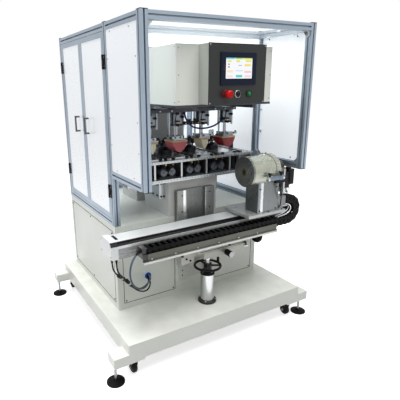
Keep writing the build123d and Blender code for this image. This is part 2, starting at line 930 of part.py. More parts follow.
def make_panel_plate():
    back = box_front_y + box_front_plate
    with BuildPart() as plate:
        block((-box_half, box_half), (box_front_y, back), (box_bottom, box_top))
        window_x = screen_width / 2 - screen_body_inset + seat_gap
        window_z = screen_height / 2 - screen_body_inset + seat_gap
        block((-window_x, window_x), (box_front_y - overrun, back + overrun),
              (screen_z - window_z, screen_z + window_z), Mode.SUBTRACT)
        for x in button_places():
            round_y(x, button_z, (box_front_y - collar_height, box_front_y), collar_radius)
            round_y(x, button_z, (box_front_y, box_front_y + collar_body_depth),
                    collar_body_radius + sheet)
            bore = stop_stem_radius if x < 0 else button_radius
            round_y(x, button_z, (box_front_y - collar_height - overrun,
                                  box_front_y + button_bore_depth), bore + run_gap, Mode.SUBTRACT)
    save(plate, "panel_plate")


def make_touch_screen():
    front = box_front_y - screen_proud
    back = box_front_y - seat_gap
    half_x, half_z = screen_width / 2, screen_height / 2
    with BuildPart() as screen:
        block((-half_x, half_x), (front, back), (screen_z - half_z, screen_z + half_z))
        chamfer(screen.edges().group_by(Axis.Y)[0], overrun)
        block((-glass_width / 2, glass_width / 2), (front - overrun, front + glass_sink),
              (glass_z - glass_height / 2, glass_z + glass_height / 2), Mode.SUBTRACT)
        body_x, body_z = half_x - screen_body_inset, half_z - screen_body_inset
        block((-body_x, body_x), (back, box_front_y + screen_body_depth),
              (screen_z - body_z, screen_z + body_z))
    save(screen, "touch_screen")


def make_buttons():
    names = ("stop_button", "black_button", "green_button")
    stem_back = box_front_y + button_bore_depth / 2
    for name, x in zip(names, button_places()):
        is_stop = name == "stop_button"
        with BuildPart() as button:
            if is_stop:
                front = box_front_y - stop_reach
                round_y(x, button_z, (front, front + stop_head), stop_radius)
                chamfer(button.edges().filter_by(GeomType.CIRCLE).sort_by(Axis.Y)[0], stop_edge)
                round_y(x, button_z, (front + stop_head, stem_back), stop_stem_radius)
            else:
                round_y(x, button_z, (box_front_y - button_proud, stem_back), button_radius)
                chamfer(button.edges().filter_by(GeomType.CIRCLE).sort_by(Axis.Y)[0], overrun)
        save(button, name)


# Pad carriage, rams and pads
def make_pad_carriage():
    y = (pad_mid_y - carriage_depth / 2, pad_mid_y + carriage_depth / 2)
    runner_y = (pad_mid_y - runner_length / 2, pad_mid_y + runner_length / 2)
    rail_side = rail_width / 2 + slide_gap / 2
    with BuildPart() as carriage:
        block((-carriage_half, carriage_half), y, (carriage_bottom, carriage_top))
        for x in (-rail_x, rail_x):
            block((x - runner_width / 2, x + runner_width / 2), runner_y,
                  (carriage_top, carriage_top + runner_height))
            block((x - rail_side, x + rail_side), (y[0] - overrun, y[1] + overrun),
                  (head_bottom - under_plate - rail_height - slide_gap / 2,
                   head_bottom), Mode.SUBTRACT)
        for x in pad_places():
            with BuildSketch(Plane.XY.offset(cylinder_bottom)):
                with Locations((x, pad_mid_y)):
                    Rectangle(cylinder_side, cylinder_side)
                chamfer(vertices(), cylinder_edge)
            extrude(amount=cylinder_length)
            round_z(x, pad_mid_y, (cylinder_bottom - overrun, carriage_bottom), ram_radius + run_gap,
                    Mode.SUBTRACT)
            for side in (-1, 1):
                round_z(x + side * guide_offset, pad_mid_y + guide_offset * side,
                        (cylinder_bottom - overrun, carriage_bottom), guide_radius + run_gap,
                        Mode.SUBTRACT)
    save(carriage, "pad_carriage")


def make_ram(number, x):
    top = cylinder_bottom + ram_in_bore
    wide, deep, high = ram_block
    foot_wide, foot_deep, foot_high = ram_foot
    with BuildPart() as ram:
        round_z(x, pad_mid_y, (ram_block_top, top), ram_radius)
        for side in (-1, 1):
            round_z(x + side * guide_offset, pad_mid_y + guide_offset * side, (ram_block_top, top),
                    guide_radius)
        block((x - wide / 2, x + wide / 2), (pad_mid_y - deep / 2, pad_mid_y + deep / 2),
              (ram_block_top - high, ram_block_top))
        block((x - foot_wide / 2, x + foot_wide / 2),
              (pad_mid_y - foot_deep / 2, pad_mid_y + foot_deep / 2), (board_top, board_top + foot_high))
    save(ram, "pad_ram_" + number)


def make_pad(number, x, size, board_width):
    wide, deep, high = size
    y = (pad_mid_y - deep / 2, pad_mid_y + deep / 2)
    top = pad_top
    tip = top - high
    belly = wide * 0.44
    with BuildPart() as pad:
        with BuildSketch(Plane.XZ.offset(-y[1])):
            with BuildLine():
                left = ThreePointArc((x - wide / 2, top), (x - belly * 0.76, top - high * 0.62),
                                     (x, tip))
                ThreePointArc(left @ 1, (x + belly * 0.76, top - high * 0.62), (x + wide / 2, top))
                Line((x + wide / 2, top), (x - wide / 2, top))
            make_face()
        extrude(amount=deep)
        block((x - board_width / 2, x + board_width / 2), (y[0] - board_rim, y[1] + board_rim),
              (top, top + board_thick - seat_gap))
    save(pad, "pad_" + number)


# Vertical slide way
def make_slide_way():
    bar_y = (way_front_y, cabinet_front_y - way_back_sheet)
    with BuildPart() as way:
        block((-way_half, way_half), (cabinet_front_y - way_back_sheet, cabinet_front_y),
              (way_bottom, way_top))
        for side in (-1, 1):
            x = sorted((side * way_half, side * (way_half - way_bar)))
            block(x, bar_y, (way_bottom, way_top))
            middle = side * (way_half - way_bar / 2)
            for z in (way_bottom + way_bar / 2, way_bottom + way_bar, way_top - way_bar * 2,
                      way_top - way_bar / 2):
                round_y(middle, z, (way_front_y - overrun, way_front_y + way_bolt_sink),
                        way_bolt_radius, Mode.SUBTRACT)
    save(way, "slide_way")


# Jack
def make_jack():
    with BuildPart() as jack:
        round_z(0, jack_mid_y, (deck_top, deck_top + jack_flange), jack_flange_radius)
        round_z(0, jack_mid_y, (deck_top + jack_flange, jack_top), jack_radius)
        chamfer(jack.edges().filter_by(GeomType.CIRCLE).sort_by(Axis.Z)[-1], sheet)
        with BuildSketch(Plane.XY.offset(deck_top + jack_flange)):
            with Locations((0, jack_mid_y)):
                with PolarLocations((jack_radius + jack_flange_radius) / 2, 4, 45):
                    Circle(jack_bolt_radius)
        extrude(amount=jack_bolt_head)
        round_z(0, jack_mid_y, (deck_top + jack_flange, jack_top + overrun), jack_bore,
                Mode.SUBTRACT)
    save(jack, "jack_column")


def make_jack_wheel():
    hub_z = (jack_top + seat_gap, jack_top + seat_gap + wheel_hub_height)
    rim_z = hub_z[1] - wheel_rim_tube * 2
    with BuildPart() as wheel:
        round_z(0, jack_mid_y, hub_z, wheel_hub_radius)
        with BuildSketch(Plane(origin=(0, jack_mid_y, rim_z), x_dir=(1, 0, 0),
                               z_dir=(0, -1, 0))):
            with Locations((wheel_rim_radius, 0)):
                RegularPolygon(wheel_rim_tube, 8)
        revolve(axis=Axis((0, jack_mid_y, 0), (0, 0, 1)))
        for angle in (90, 210, 330):
            turn = math.radians(angle)
            way = (math.cos(turn), math.sin(turn), 0)
            with BuildSketch(Plane(origin=(0, jack_mid_y, rim_z), z_dir=way)):
                Circle(wheel_spoke_radius)
            extrude(amount=wheel_rim_radius)
        knob_z = rim_z + wheel_rim_tube / 2
        round_z(wheel_rim_radius, jack_mid_y, (knob_z, knob_z + wheel_knob_height),
                wheel_knob_radius)
        round_z(0, jack_mid_y, (hub_z[0] - overrun, hub_z[1] + overrun), screw_radius + run_gap,
                Mode.SUBTRACT)
    save(wheel, "jack_handwheel")


def make_jack_screw():
    with BuildPart() as screw:
        round_z(0, jack_mid_y, (screw_bottom, ledge_bottom), screw_radius)
        chamfer(screw.edges().filter_by(GeomType.CIRCLE).sort_by(Axis.Z)[0], overrun)
    save(screw, "jack_screw")


# Knee with its cross slide
def make_knee():
    front = saddle_back_y - saddle_thick
    bracket_y = mid_y - bracket_front
    ledge_y = mid_y - ledge_front
    with BuildPart() as knee:
        block((-saddle_half, saddle_half), (front, saddle_back_y), (saddle_bottom, saddle_top))
        tongue = way_half - way_bar - slide_gap
        block((-tongue, tongue), (saddle_back_y, way_front_y + way_bar_thick - slide_gap),
              (saddle_bottom, saddle_top))
        side = [(front, bracket_bottom + bracket_chamfer), (front, bracket_top),
                (bracket_y, bracket_top), (bracket_y, bracket_bottom),
                (front - bracket_chamfer, bracket_bottom)]
        side_profile(side, (bracket_left, bracket_inner))
        low_side = [(front, bracket_bottom + bracket_chamfer), (front, bracket_step),
                    (bracket_y, bracket_step), (bracket_y, bracket_bottom),
                    (front - bracket_chamfer, bracket_bottom)]
        side_profile(low_side, (bracket_inner, bracket_toe))
        slot_wide, slot_high, slot_in = bracket_slot
        slot_x = (bracket_left + bracket_inner) / 2
        block((slot_x, slot_x + slot_wide), (bracket_y - overrun, bracket_y + slot_in),
              (bracket_step, bracket_step + slot_high), Mode.SUBTRACT)
        block((ledge_left, ledge_right), (ledge_y, front), (ledge_bottom, ledge_top))
        block((bracket_toe, ledge_left), (bracket_y, front), (ledge_bottom, ledge_top - seat_gap))
        round_y(knob_x, knob_z, (ledge_y - overrun, ledge_y + knob_length), knob_stem_radius + run_gap,
                Mode.SUBTRACT)
    save(knee, "knee")


def make_clamp_knob():
    ledge_y = mid_y - ledge_front
    with BuildPart() as knob:
        with BuildSketch(Plane.XZ.offset(-(ledge_y - knob_stem))):
            with Locations((knob_x, knob_z)):
                Circle(knob_radius)
                with PolarLocations(knob_radius, 12):
                    RegularPolygon(knob_radius / 10, 4, mode=Mode.SUBTRACT)
        extrude(amount=knob_length)
        round_y(knob_x, knob_z, (ledge_y - knob_stem, ledge_y + knob_length - overrun),
                knob_stem_radius)
    save(knob, "clamp_knob")


def make_cross_plate():
    y = (mid_y - ledge_front, mid_y - cross_back)
    with BuildPart() as plate:
        block((cross_left, cross_right), y, (cross_bottom, cross_top))
        block((riser_left, riser_right), (y[0] + riser_inset, y[1] - riser_inset),
              (cross_top, module_bottom))
        round_x(mid_y - cross_wheel_y, (cross_bottom + cross_top) / 2,
                (cross_right - cross_shaft_in, cross_right + overrun),
                cross_shaft_radius + run_gap, Mode.SUBTRACT)
    save(plate, "cross_plate")


def make_cross_wheel():
    y, z = mid_y - cross_wheel_y, (cross_bottom + cross_top) / 2
    rim_left = cross_wheel_x - cross_wheel_rim / 2
    web_left = cross_wheel_x - cross_wheel_web / 2
    with BuildPart() as wheel:
        round_x(y, z, (rim_left, rim_left + cross_wheel_rim), cross_wheel_radius)
        chamfer(wheel.edges().filter_by(GeomType.CIRCLE), cross_wheel_rim / 3)
        for left, right in ((rim_left - overrun, web_left),
                            (web_left + cross_wheel_web, rim_left + cross_wheel_rim + overrun)):
            round_x(y, z, (left, right), cross_wheel_rim_in, Mode.SUBTRACT)
        round_x(y, z, (cross_right - cross_shaft_in + overrun, web_left), cross_shaft_radius)
        round_x(y, z, (cross_right + overrun, rim_left + cross_wheel_rim), cross_shaft_radius * 2)
    save(wheel, "cross_handwheel")


# Linear module, chain tray and energy chain
def module_outline(extra, rise, corner):
    front, back = module_front_y - extra, module_back_y + extra
    low, high = module_bottom, module_top + rise
    return [(front, low), (back, low), (back, high - corner), (back - corner, high),
            (front + corner, high), (front, high - corner)]


def slot_lines():
    """Front and back slot of the module, as limits in Y."""
    front = module_front_y + module_slot_in
    back = module_back_y - module_slot_in - module_slot
    return ((front, front + module_slot), (back, back + module_slot))


def make_linear_module():
    half = module_half
    with BuildPart() as module:
        side_profile(module_outline(0, 0, module_chamfer), (-half, half))
        for y in slot_lines():
            block((-half, half), y, (module_slot_floor, module_top + overrun), Mode.SUBTRACT)
        for share in (0.22, 0.5):
            z = module_bottom + (module_slot_floor - module_bottom) * share
            for y in ((module_front_y - overrun, module_front_y + module_groove_depth),
                      (module_back_y - module_groove_depth, module_back_y + overrun)):
                block((-half, half), y, (z, z + module_groove), Mode.SUBTRACT)
        for x in (-half - module_cap, half):
            side_profile(module_outline(cap_extra, cap_rise, cap_chamfer), (x, x + module_cap))
    save(module, "linear_module")


def tray_floor():
    return module_bottom + sheet


def make_chain_tray():
    floor = tray_floor()
    near, far = module_front_y - cap_extra / 2, mid_y - tray_front
    profile_points = [(near, floor - tray_sheet), (near, floor + tray_rise),
                      (near - tray_sheet, floor + tray_rise), (near - tray_sheet, floor),
                      (far + tray_sheet, floor), (far + tray_sheet, floor + tray_rise),
                      (far, floor + tray_rise), (far, floor - tray_drop),
                      (far - tray_lip, floor - tray_drop),
                      (far - tray_lip, floor - tray_drop - tray_drop),
                      (far + tray_sheet, floor - tray_drop - tray_drop),
                      (far + tray_sheet, floor - tray_sheet)]
    chain_start = chain_pivots()[0][0] - chain_gap
    with BuildPart() as tray:
        side_profile(profile_points, (tray_left, tray_right))
        block((chain_start - chain_bracket, chain_start),
              (mid_y - chain_front, mid_y - chain_front + chain_width),
              (floor + chain_floor_gap, floor + chain_floor_gap + chain_height))
    save(tray, "chain_tray")


def chain_pivots():
    """Pivot of every link, from the fixed end round the loop to the moving end."""
    low_z = tray_floor() + chain_floor_gap + chain_height / 2
    turn = math.pi / chain_links_loop
    loop_radius = chain_pitch / (2 * math.sin(turn / 2))
    points = [(chain_loop_x - chain_pitch * step, low_z)
              for step in range(chain_links_low, 0, -1)]
    for step in range(chain_links_loop + 1):
        angle = -math.pi / 2 + turn * step
        points.append((chain_loop_x + loop_radius * math.cos(angle),
                       low_z + loop_radius * (1 + math.sin(angle))))
    high_z = low_z + 2 * loop_radius
    points += [(chain_loop_x - chain_pitch * (step + 1), high_z) for step in range(chain_links_high)]
    return points


def link_outline():
    """Side of one link: full length outside the bend, cut back inside it to let it bend."""
    half, high = chain_pitch / 2 - chain_gap / 2, chain_height / 2
    relief = high * math.tan(math.pi / chain_links_loop / 2) + chain_gap
    return [(-half, -high), (half, -high), (half, 0), (half - relief, high),
            (relief - half, high), (-half, 0)]


def make_energy_chain():
    pivots = chain_pivots()
    front = mid_y - chain_front
    back = front + chain_width
    bar_at = (chain_height - chain_bar_thick) / 2
    with BuildPart() as chain:
        for a, b in zip(pivots, pivots[1:]):
            along = Vector(b[0] - a[0], 0, b[1] - a[1]).normalized()
            middle = ((a[0] + b[0]) / 2, (a[1] + b[1]) / 2)
            for y in (front, back - chain_plate):
                place = Plane(origin=(middle[0], y + chain_plate, middle[1]), x_dir=along,
                              z_dir=(0, -1, 0))
                with BuildSketch(place):
                    with BuildLine():
                        Polyline(*link_outline(), close=True)
                    make_face()
                extrude(amount=chain_plate)
            place = Plane(origin=(middle[0], back - chain_plate, middle[1]), x_dir=along,
                          z_dir=(0, -1, 0))
            with BuildSketch(place):
                with Locations((0, bar_at), (0, -bar_at)):
                    Rectangle(chain_bar, chain_bar_thick)
            extrude(amount=chain_width - 2 * chain_plate)
    save(chain, "energy_chain")


# Work carriage with the rotary work head
def make_work_carriage():
    y = (mid_y - carrier_front, mid_y - carrier_back)
    z = (carrier_bottom, carrier_bottom + carrier_thick)
    slots = slot_lines()
    with BuildPart() as carriage:
        block((carrier_left, carrier_right), y, z)
        chamfer(carriage.edges().filter_by(Axis.Z), carrier_slot_radius)
        block_y = (slots[0][0] + slide_gap, slots[1][1] - slide_gap)
        block((carrier_block_left, carrier_block_right), block_y,
              (module_top + sheet, carrier_bottom))
        for low, high in slots:
            block((carrier_block_left, carrier_block_right), (low + slide_gap, high - slide_gap),
                  (carrier_leg_bottom, carrier_bottom))
        slot_mid_x = (carrier_left + post_left) / 2
        with BuildSketch(Plane.XY.offset(z[0] - overrun)):
            with Locations((slot_mid_x, (y[0] + y[1]) / 2)):
                with GridLocations(carrier_slot_pitch_x, carrier_slot_pitch_y, 2, 2):
                    SlotOverall(carrier_slot_length, 2 * carrier_slot_radius)
        extrude(amount=carrier_thick + 2 * overrun, mode=Mode.SUBTRACT)
        block((post_left, post_right), (mid_y - post_front, mid_y - post_back), (z[1], post_top))
        round_x(work_mid_y, work_z, (post_left - overrun, post_right + overrun),
                work_radius + seat_gap, Mode.SUBTRACT)
        round_x(work_mid_y, work_z, (work_seam - seat_gap, post_right + overrun),
                work_flange_radius + seat_gap, Mode.SUBTRACT)
        arm = chain_pivots()[-1]
        arm_y = (mid_y - chain_front, mid_y - chain_front + chain_width)
        block((carrier_block_right, carrier_right), arm_y, (z[1], arm[1] - chain_height / 2))
        block((carrier_block_right, arm[0] - chain_gap), arm_y,
              (arm[1] - chain_height / 2, arm[1] + chain_height / 2))
    save(carriage, "work_carriage")


def make_rotary_housing():
    with BuildPart() as housing:
        round_x(work_mid_y, work_z, (work_left, work_seam), work_radius)
        chamfer(housing.edges().filter_by(GeomType.CIRCLE).sort_by(Axis.X)[0], work_edge)
        round_x(work_mid_y, work_z, (work_seam, work_flange_right), work_flange_radius)
        chamfer(housing.edges().filter_by(GeomType.CIRCLE).sort_by(Axis.X)[-1], work_edge)
        round_x(work_mid_y, work_z, (work_flange_right, work_right), work_neck_radius)
        round_x(work_mid_y, work_z, (work_left - overrun, work_left + face_shaft_length + overrun),
                face_shaft_radius + run_gap, Mode.SUBTRACT)
    save(housing, "rotary_housing")


def make_face_disc():
    right = work_left - slide_gap
    left = right - face_thick
    with BuildPart() as disc:
        round_x(work_mid_y, work_z, (left, right), face_radius)
        chamfer(disc.edges().filter_by(GeomType.CIRCLE).sort_by(Axis.X)[0], overrun)
        round_x(work_mid_y, work_z, (right, work_left + face_shaft_length), face_shaft_radius)
        round_x(work_mid_y, work_z, (left - overrun, work_left + face_shaft_length + overrun),
                face_bore_radius, Mode.SUBTRACT)
        with BuildSketch(Plane.YZ.offset(left - overrun)):
            with Locations((work_mid_y, work_z)):
                with PolarLocations(face_bolt_pcd / 2, face_bolt_count):
                    Circle(face_bolt_radius)
        extrude(amount=face_thick + overrun, mode=Mode.SUBTRACT)
    save(disc, "face_disc")


def make_rotary_drive():
    plate_x = (work_right, work_right + drive_plate)
    motor_x = (plate_x[1], plate_x[1] + motor_length)
    motor_y = (work_mid_y - motor_size / 2, work_mid_y + motor_size / 2)
    motor_mid_x = (motor_x[0] + motor_x[1]) / 2
    index_z = work_z - index_drop
    reach = math.sqrt(work_flange_radius ** 2 - index_drop ** 2)
    index_y = work_mid_y - reach - index_gap - index_radius
    index_x = (index_left, index_left + index_length)
    with BuildPart() as drive:
        block(plate_x, (work_mid_y - drive_plate_half, work_mid_y + drive_plate_half),
              (drive_plate_bottom, drive_plate_top))
        block(motor_x, motor_y, (motor_bottom, motor_top))
        chamfer(drive.edges().filter_by(Axis.Z).filter_by(
            lambda e: e.center().X > motor_x[1] - seat_gap), motor_edge)
        round_z(motor_mid_x, work_mid_y, (motor_top, motor_top + motor_ring), motor_ring_radius)
        round_z(motor_mid_x, work_mid_y, (motor_bottom - fitting_length, motor_bottom),
                fitting_radius)
        round_x(index_y, index_z, index_x, index_radius)
        round_x(index_y, index_z, (index_x[1], index_x[1] + index_rod), index_rod_radius)
        block((work_seam, work_flange_right),
              (index_y - index_block / 2, work_mid_y - reach + index_gap),
              (index_z - index_block / 2, index_z + index_block / 2))
        round_x(work_mid_y, work_z, (work_seam - overrun, work_flange_right + overrun),
                work_flange_radius + seat_gap, Mode.SUBTRACT)
    save(drive, "rotary_drive")


# Cords, with routes set by hand, each as steps from the frame's middle in Y
def routed(points):
    return [(x, mid_y - forward, z) for x, forward, z in points]


def make_module_leads():
    start = module_bottom - seat_gap * 2
    first = routed(((-667, 486, start), (-666, 481, 648), (-640, 459, 595), (-594, 428, 548),
                    (-552, 402, 494), (-508, 378, 440), (-461, 358, 401), (-410, 345, 385),
                    (-370, 325, 399), (-352, 297, 420), (-348.5, 262, 431)))
    second = routed(((-648, 502, start), (-647, 497, 646), (-623, 475, 591), (-578, 443, 541),
                     (-537, 416, 485), (-494, 391, 429), (-449, 371, 389), (-400, 356, 371),
                     (-361, 334, 384), (-343.5, 299, 411), (-342, 262, 418.5)))
    with BuildPart() as leads:
        tube(first, lead_radius)
        tube(second, lead_radius)
    save(leads, "module_leads")


def make_chain_lead():
    start = tray_left - chain_lead_radius * 2 / 3
    route = routed(((start, 560, 747), (-568, 562, 720), (-587, 552, 665), (-583, 528, 603),
                    (-562, 496, 540), (-525, 458, 480), (-477, 421, 437), (-428, 385, 419),
                    (-384, 353, 422), (-345, 320, 432), (-337, 262, 430)))
    with BuildPart() as lead:
        tube(route, chain_lead_radius)
    save(lead, "chain_lead")


make_base()
make_levelling_feet()
for caster_number, caster_sides in zip("1234", ((-1, -1), (1, -1), (-1, 1), (1, 1))):
    make_caster(caster_number, *caster_sides)
make_cabinet()
make_access_covers()
make_grommet()
make_guard_posts()
make_guard_rails()
make_caps_and_hinges()
make_guard_panels()
for door in door_spans():
    make_door(*door)
make_columns()
make_print_table()
make_shuttle_cylinders()
make_printing_plates()
make_ink_cups()
make_head()
make_head_slide()
make_control_box()
make_panel_plate()
make_touch_screen()
make_buttons()
make_pad_carriage()
pad_forms = ((cream_pad, cream_board), (red_pad, red_pad[0] + 2 * board_rim)) * 2
for ram_number, ram_x, pad_form in zip("1234", pad_places(), pad_forms):
    make_ram(ram_number, ram_x)
    make_pad(ram_number, ram_x, *pad_form)
make_slide_way()
make_jack()
make_jack_wheel()
make_jack_screw()
make_knee()
make_clamp_knob()
make_cross_plate()
make_cross_wheel()
make_linear_module()
make_chain_tray()
make_energy_chain()
make_work_carriage()
make_rotary_housing()
make_face_disc()
make_rotary_drive()
make_module_leads()
make_chain_lead()
print(len(os.listdir("parts")), "pieces written, frame middle at y =", round(mid_y, 2))
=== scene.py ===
# %% [markdown]
# # A four-colour pad printing machine
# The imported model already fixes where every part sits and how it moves. This lesson
# dresses it: a camera, cords, a studio, finishes for every part, and the many small
# things that a solid model leaves out, such as screws, hoses, chain links and springs.
# Each step first says what the real thing is and why it was made this way.

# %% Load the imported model
import math
from itertools import product

import bmesh
import bpy
from mathutils import Matrix, Vector


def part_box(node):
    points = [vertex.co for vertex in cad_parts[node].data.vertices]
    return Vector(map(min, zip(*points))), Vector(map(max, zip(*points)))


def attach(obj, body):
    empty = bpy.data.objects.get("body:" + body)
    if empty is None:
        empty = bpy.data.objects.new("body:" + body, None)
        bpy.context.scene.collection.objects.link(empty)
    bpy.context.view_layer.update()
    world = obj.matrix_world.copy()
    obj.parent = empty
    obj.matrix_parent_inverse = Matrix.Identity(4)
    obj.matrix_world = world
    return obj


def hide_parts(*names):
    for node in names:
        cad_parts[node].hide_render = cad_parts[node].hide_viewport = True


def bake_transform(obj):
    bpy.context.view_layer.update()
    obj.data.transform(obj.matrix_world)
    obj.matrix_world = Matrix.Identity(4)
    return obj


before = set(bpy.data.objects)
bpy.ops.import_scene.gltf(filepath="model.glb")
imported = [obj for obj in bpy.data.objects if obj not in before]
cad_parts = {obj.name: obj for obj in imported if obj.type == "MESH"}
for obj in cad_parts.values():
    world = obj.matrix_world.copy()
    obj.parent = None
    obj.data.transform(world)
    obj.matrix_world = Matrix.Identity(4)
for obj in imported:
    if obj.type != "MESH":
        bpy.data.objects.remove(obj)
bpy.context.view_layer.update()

# %% [markdown]
# ## Places in the machine's own millimetres
# A machine builder measures from the middle of the deck, in millimetres, with Y growing
# to the back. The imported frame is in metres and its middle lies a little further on, so
# one helper turns the builder's numbers into Blender's. The cabinet's front gives the
# shift, because everything else is measured from it.

# %% Millimetres to the frame
MM = 0.001
CABINET_FRONT = 271
middle_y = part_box("cabinet")[0].y + CABINET_FRONT * MM


def at(x, y, z):
    """A point of the machine, given in millimetres, in Blender's metres."""
    return Vector((x * MM, y * MM + middle_y, z * MM))


def back_from(point):
    """A point of the scene, in metres, as machine millimetres."""
    return point.x / MM, (point.y - middle_y) / MM, point.z / MM


def grid(xs, ys, zs):
    """Every place whose X, Y and Z are in three lists."""
    return list(product(xs, ys, zs))


def linked(name, data):
    """A new object of the scene."""
    thing = bpy.data.objects.new(name, data)
    bpy.context.scene.collection.objects.link(thing)
    return thing


print("deck middle is at y =", round(middle_y, 5))

# %% [markdown]
# ## The camera
# The photographer stood in front and to the left, with the lens at chest height, and
# pointed it slightly down. A camera is fully set by where it stands, the direction it
# looks in, a small roll, and its focal length. The shift moves the frame without turning
# the camera, as a cropped photograph does.

# %% Camera
CAMERA_PLACE = at(-1392.2, -2384.2, 1615.9)
YAW, TILT, ROLL = -0.5091, -0.2663, -0.015
FOCAL_PIXELS, PICTURE, SENSOR = 400.21, 400, 36
MIDDLE_PIXEL = (164.47, 193.55)


def make_camera():
    look = Vector((-math.sin(YAW) * math.cos(TILT), math.cos(YAW) * math.cos(TILT),
                   math.sin(TILT)))
    right = Vector((math.cos(YAW), math.sin(YAW), 0))
    up = right.cross(look)
    level = math.cos(ROLL) * right + math.sin(ROLL) * up
    upright = math.cos(ROLL) * up - math.sin(ROLL) * right
    data = bpy.data.cameras.new("view")
    data.sensor_width = SENSOR
    data.lens = FOCAL_PIXELS / PICTURE * SENSOR
    data.shift_x = (PICTURE / 2 - MIDDLE_PIXEL[0]) / PICTURE
    data.shift_y = (MIDDLE_PIXEL[1] - PICTURE / 2) / PICTURE
    camera = linked("view", data)
    turn = Matrix((level, upright, -look)).transposed().to_4x4()
    camera.matrix_world = Matrix.Translation(CAMERA_PLACE) @ turn
    bpy.context.scene.camera = camera
    print("camera lens", round(data.lens, 2), "mm")


make_camera()

# %% [markdown]
# ## Control leads
# Two black leads drop from the motion module and one grey lead from the energy chain.
# All three hang in a slack bow and go into the blue grommet in the cabinet. A lead has
# weight and some stiffness, so its line is a NURBS curve: the points pull on it but it
# doesn't bend sharply at any of them. The line is then given its thickness as a tube of
# mesh, because the knee carries the upper end up and down while the lower end stays, and
# only a mesh can bend between two bodies.

# %% Cord lines
FIRST_LEAD = ((-667, -486, 704.4), (-666, -481, 648), (-640, -459, 595), (-594, -428, 548),
              (-552, -402, 494), (-508, -378, 440), (-461, -358, 401), (-410, -345, 385),
              (-370, -325, 399), (-352, -297, 420), (-348.5, -262, 431))
SECOND_LEAD = ((-648, -502, 704.4), (-647, -497, 646), (-623, -475, 591), (-578, -443, 541),
               (-537, -416, 485), (-494, -391, 429), (-449, -371, 389), (-400, -356, 371),
               (-361, -334, 384), (-343.5, -299, 411), (-342, -262, 418.5))
CHAIN_LEAD = ((-534.067, -560, 747), (-568, -562, 720), (-587, -552, 665), (-583, -528, 603),
              (-562, -496, 540), (-525, -458, 480), (-477, -421, 437), (-428, -385, 419),
              (-384, -353, 422), (-345, -320, 432), (-337, -262, 430))
LEAD_WIDTH, CHAIN_LEAD_WIDTH = 9, 11


def cord_curve(name, places, width):
    """A NURBS line through the pull of its points, with a round section if width is set."""
    data = bpy.data.curves.new(name, "CURVE")
    data.dimensions = "3D"
    data.resolution_u = 8
    spline = data.splines.new("NURBS")
    spline.points.add(len(places) - 1)
    for point, place in zip(spline.points, places):
        point.co = (*at(*place), 1)
    spline.order_u = 3
    spline.use_endpoint_u = True
    data.bevel_depth = width / 2 * MM
    data.bevel_resolution = 4
    data.use_fill_caps = True
    return linked(name, data)


def mesh_of(thing):
    """The finished mesh of a curve or of an object with modifiers."""
    bpy.context.view_layer.update()
    graph = bpy.context.evaluated_depsgraph_get()
    return bpy.data.meshes.new_from_object(thing.evaluated_get(graph))


def length_of(line):
    return sum((b - a).length for a, b in zip(line, line[1:]))


def lead_tube(name, places, width):
    """A lead as a tube of mesh, and the points of the line that it follows."""
    curve = cord_curve(name + "_curve", places, width)
    tube = linked(name, mesh_of(curve))
    for face in tube.data.polygons:
        face.use_smooth = True
    curve.data.bevel_depth = 0
    line = [Vector(corner.co) for corner in mesh_of(curve).vertices]
    bpy.data.objects.remove(curve)
    print(name, round(length_of(line), 3), "m long")
    return tube, line


lead_one, line_one = lead_tube("module_lead_one", FIRST_LEAD, LEAD_WIDTH)
lead_two, line_two = lead_tube("module_lead_two", SECOND_LEAD, LEAD_WIDTH)
lead_three, line_three = lead_tube("chain_supply_lead", CHAIN_LEAD, CHAIN_LEAD_WIDTH)

# %% [markdown]
# ## Nodes in few words
# Shaders, the studio's light and the shape trees are all node trees. A node's input is
# either a plain value or the output of another node, and one helper takes both.

# %% Node helpers
WHITE = (1, 1, 1, 1)


def put(tree, kind, inputs=None, **settings):
    """Add a node; an input is set to a value, or linked where it is given a socket."""
    made = tree.nodes.new(kind)
    for name, value in settings.items():
        setattr(made, name, value)
    for name, value in (inputs or {}).items():
        if isinstance(value, bpy.types.NodeSocket):
            tree.links.new(value, made.inputs[name])
        else:
            made.inputs[name].default_value = value
    return made


def maths(tree, operation, a, b=0.0, clamp=False):
    made = put(tree, "ShaderNodeMath", {0: a, 1: b}, operation=operation, use_clamp=clamp)
    return made.outputs[0]


def vectors(tree, operation, a, b):
    """Maths with two vectors, or with a vector and a number to scale it by."""
    second = "Scale" if operation == "SCALE" else 1
    made = put(tree, "ShaderNodeVectorMath", {0: a, second: b}, operation=operation)
    return made.outputs["Value" if operation == "DOT_PRODUCT" else 0]


def noise(tree, place, scale, detail):
    return put(tree, "ShaderNodeTexNoise",
               {"Vector": place, "Scale": scale, "Detail": detail}).outputs[0]


def mixed(tree, share, a, b):
    """Colour a turning into colour b by share."""
    return put(tree, "ShaderNodeMix", {0: share, 6: a, 7: b}, data_type="RGBA").outputs[2]


def ramped(tree, value, low, high, to_low=0.0, to_high=1.0):
    made = put(tree, "ShaderNodeMapRange", {0: value, 1: low, 2: high, 3: to_low, 4: to_high})
    return made.outputs[0]


def emptied(owner):
    """The node tree of a world or a material, without the nodes it starts with."""
    owner.use_nodes = True
    owner.node_tree.nodes.clear()
    return owner.node_tree


print("node helpers are ready")

# %% [markdown]
# ## Floor, light and background
# A product photograph is taken on a pale sweep under large soft lamps. Four area lamps
# give the light: the strongest overhead, one high in front, a weak one from the left and
# one from behind. The floor is plain white where the camera, a mirror or a clear sheet
# sees it, and dark paper for light that bounces, so upright faces stay darker than tops.

# %% Studio
AMBIENT, BACKDROP = 0.36, 1.0
FLOOR_REACH, FLOOR_DROP, FLOOR_GLOW = 14.0, 0.001, 0.66
PAPER_WHITE, PAPER_GREY = (0.93, 0.93, 0.935, 1), (0.3, 0.3, 0.3, 1)


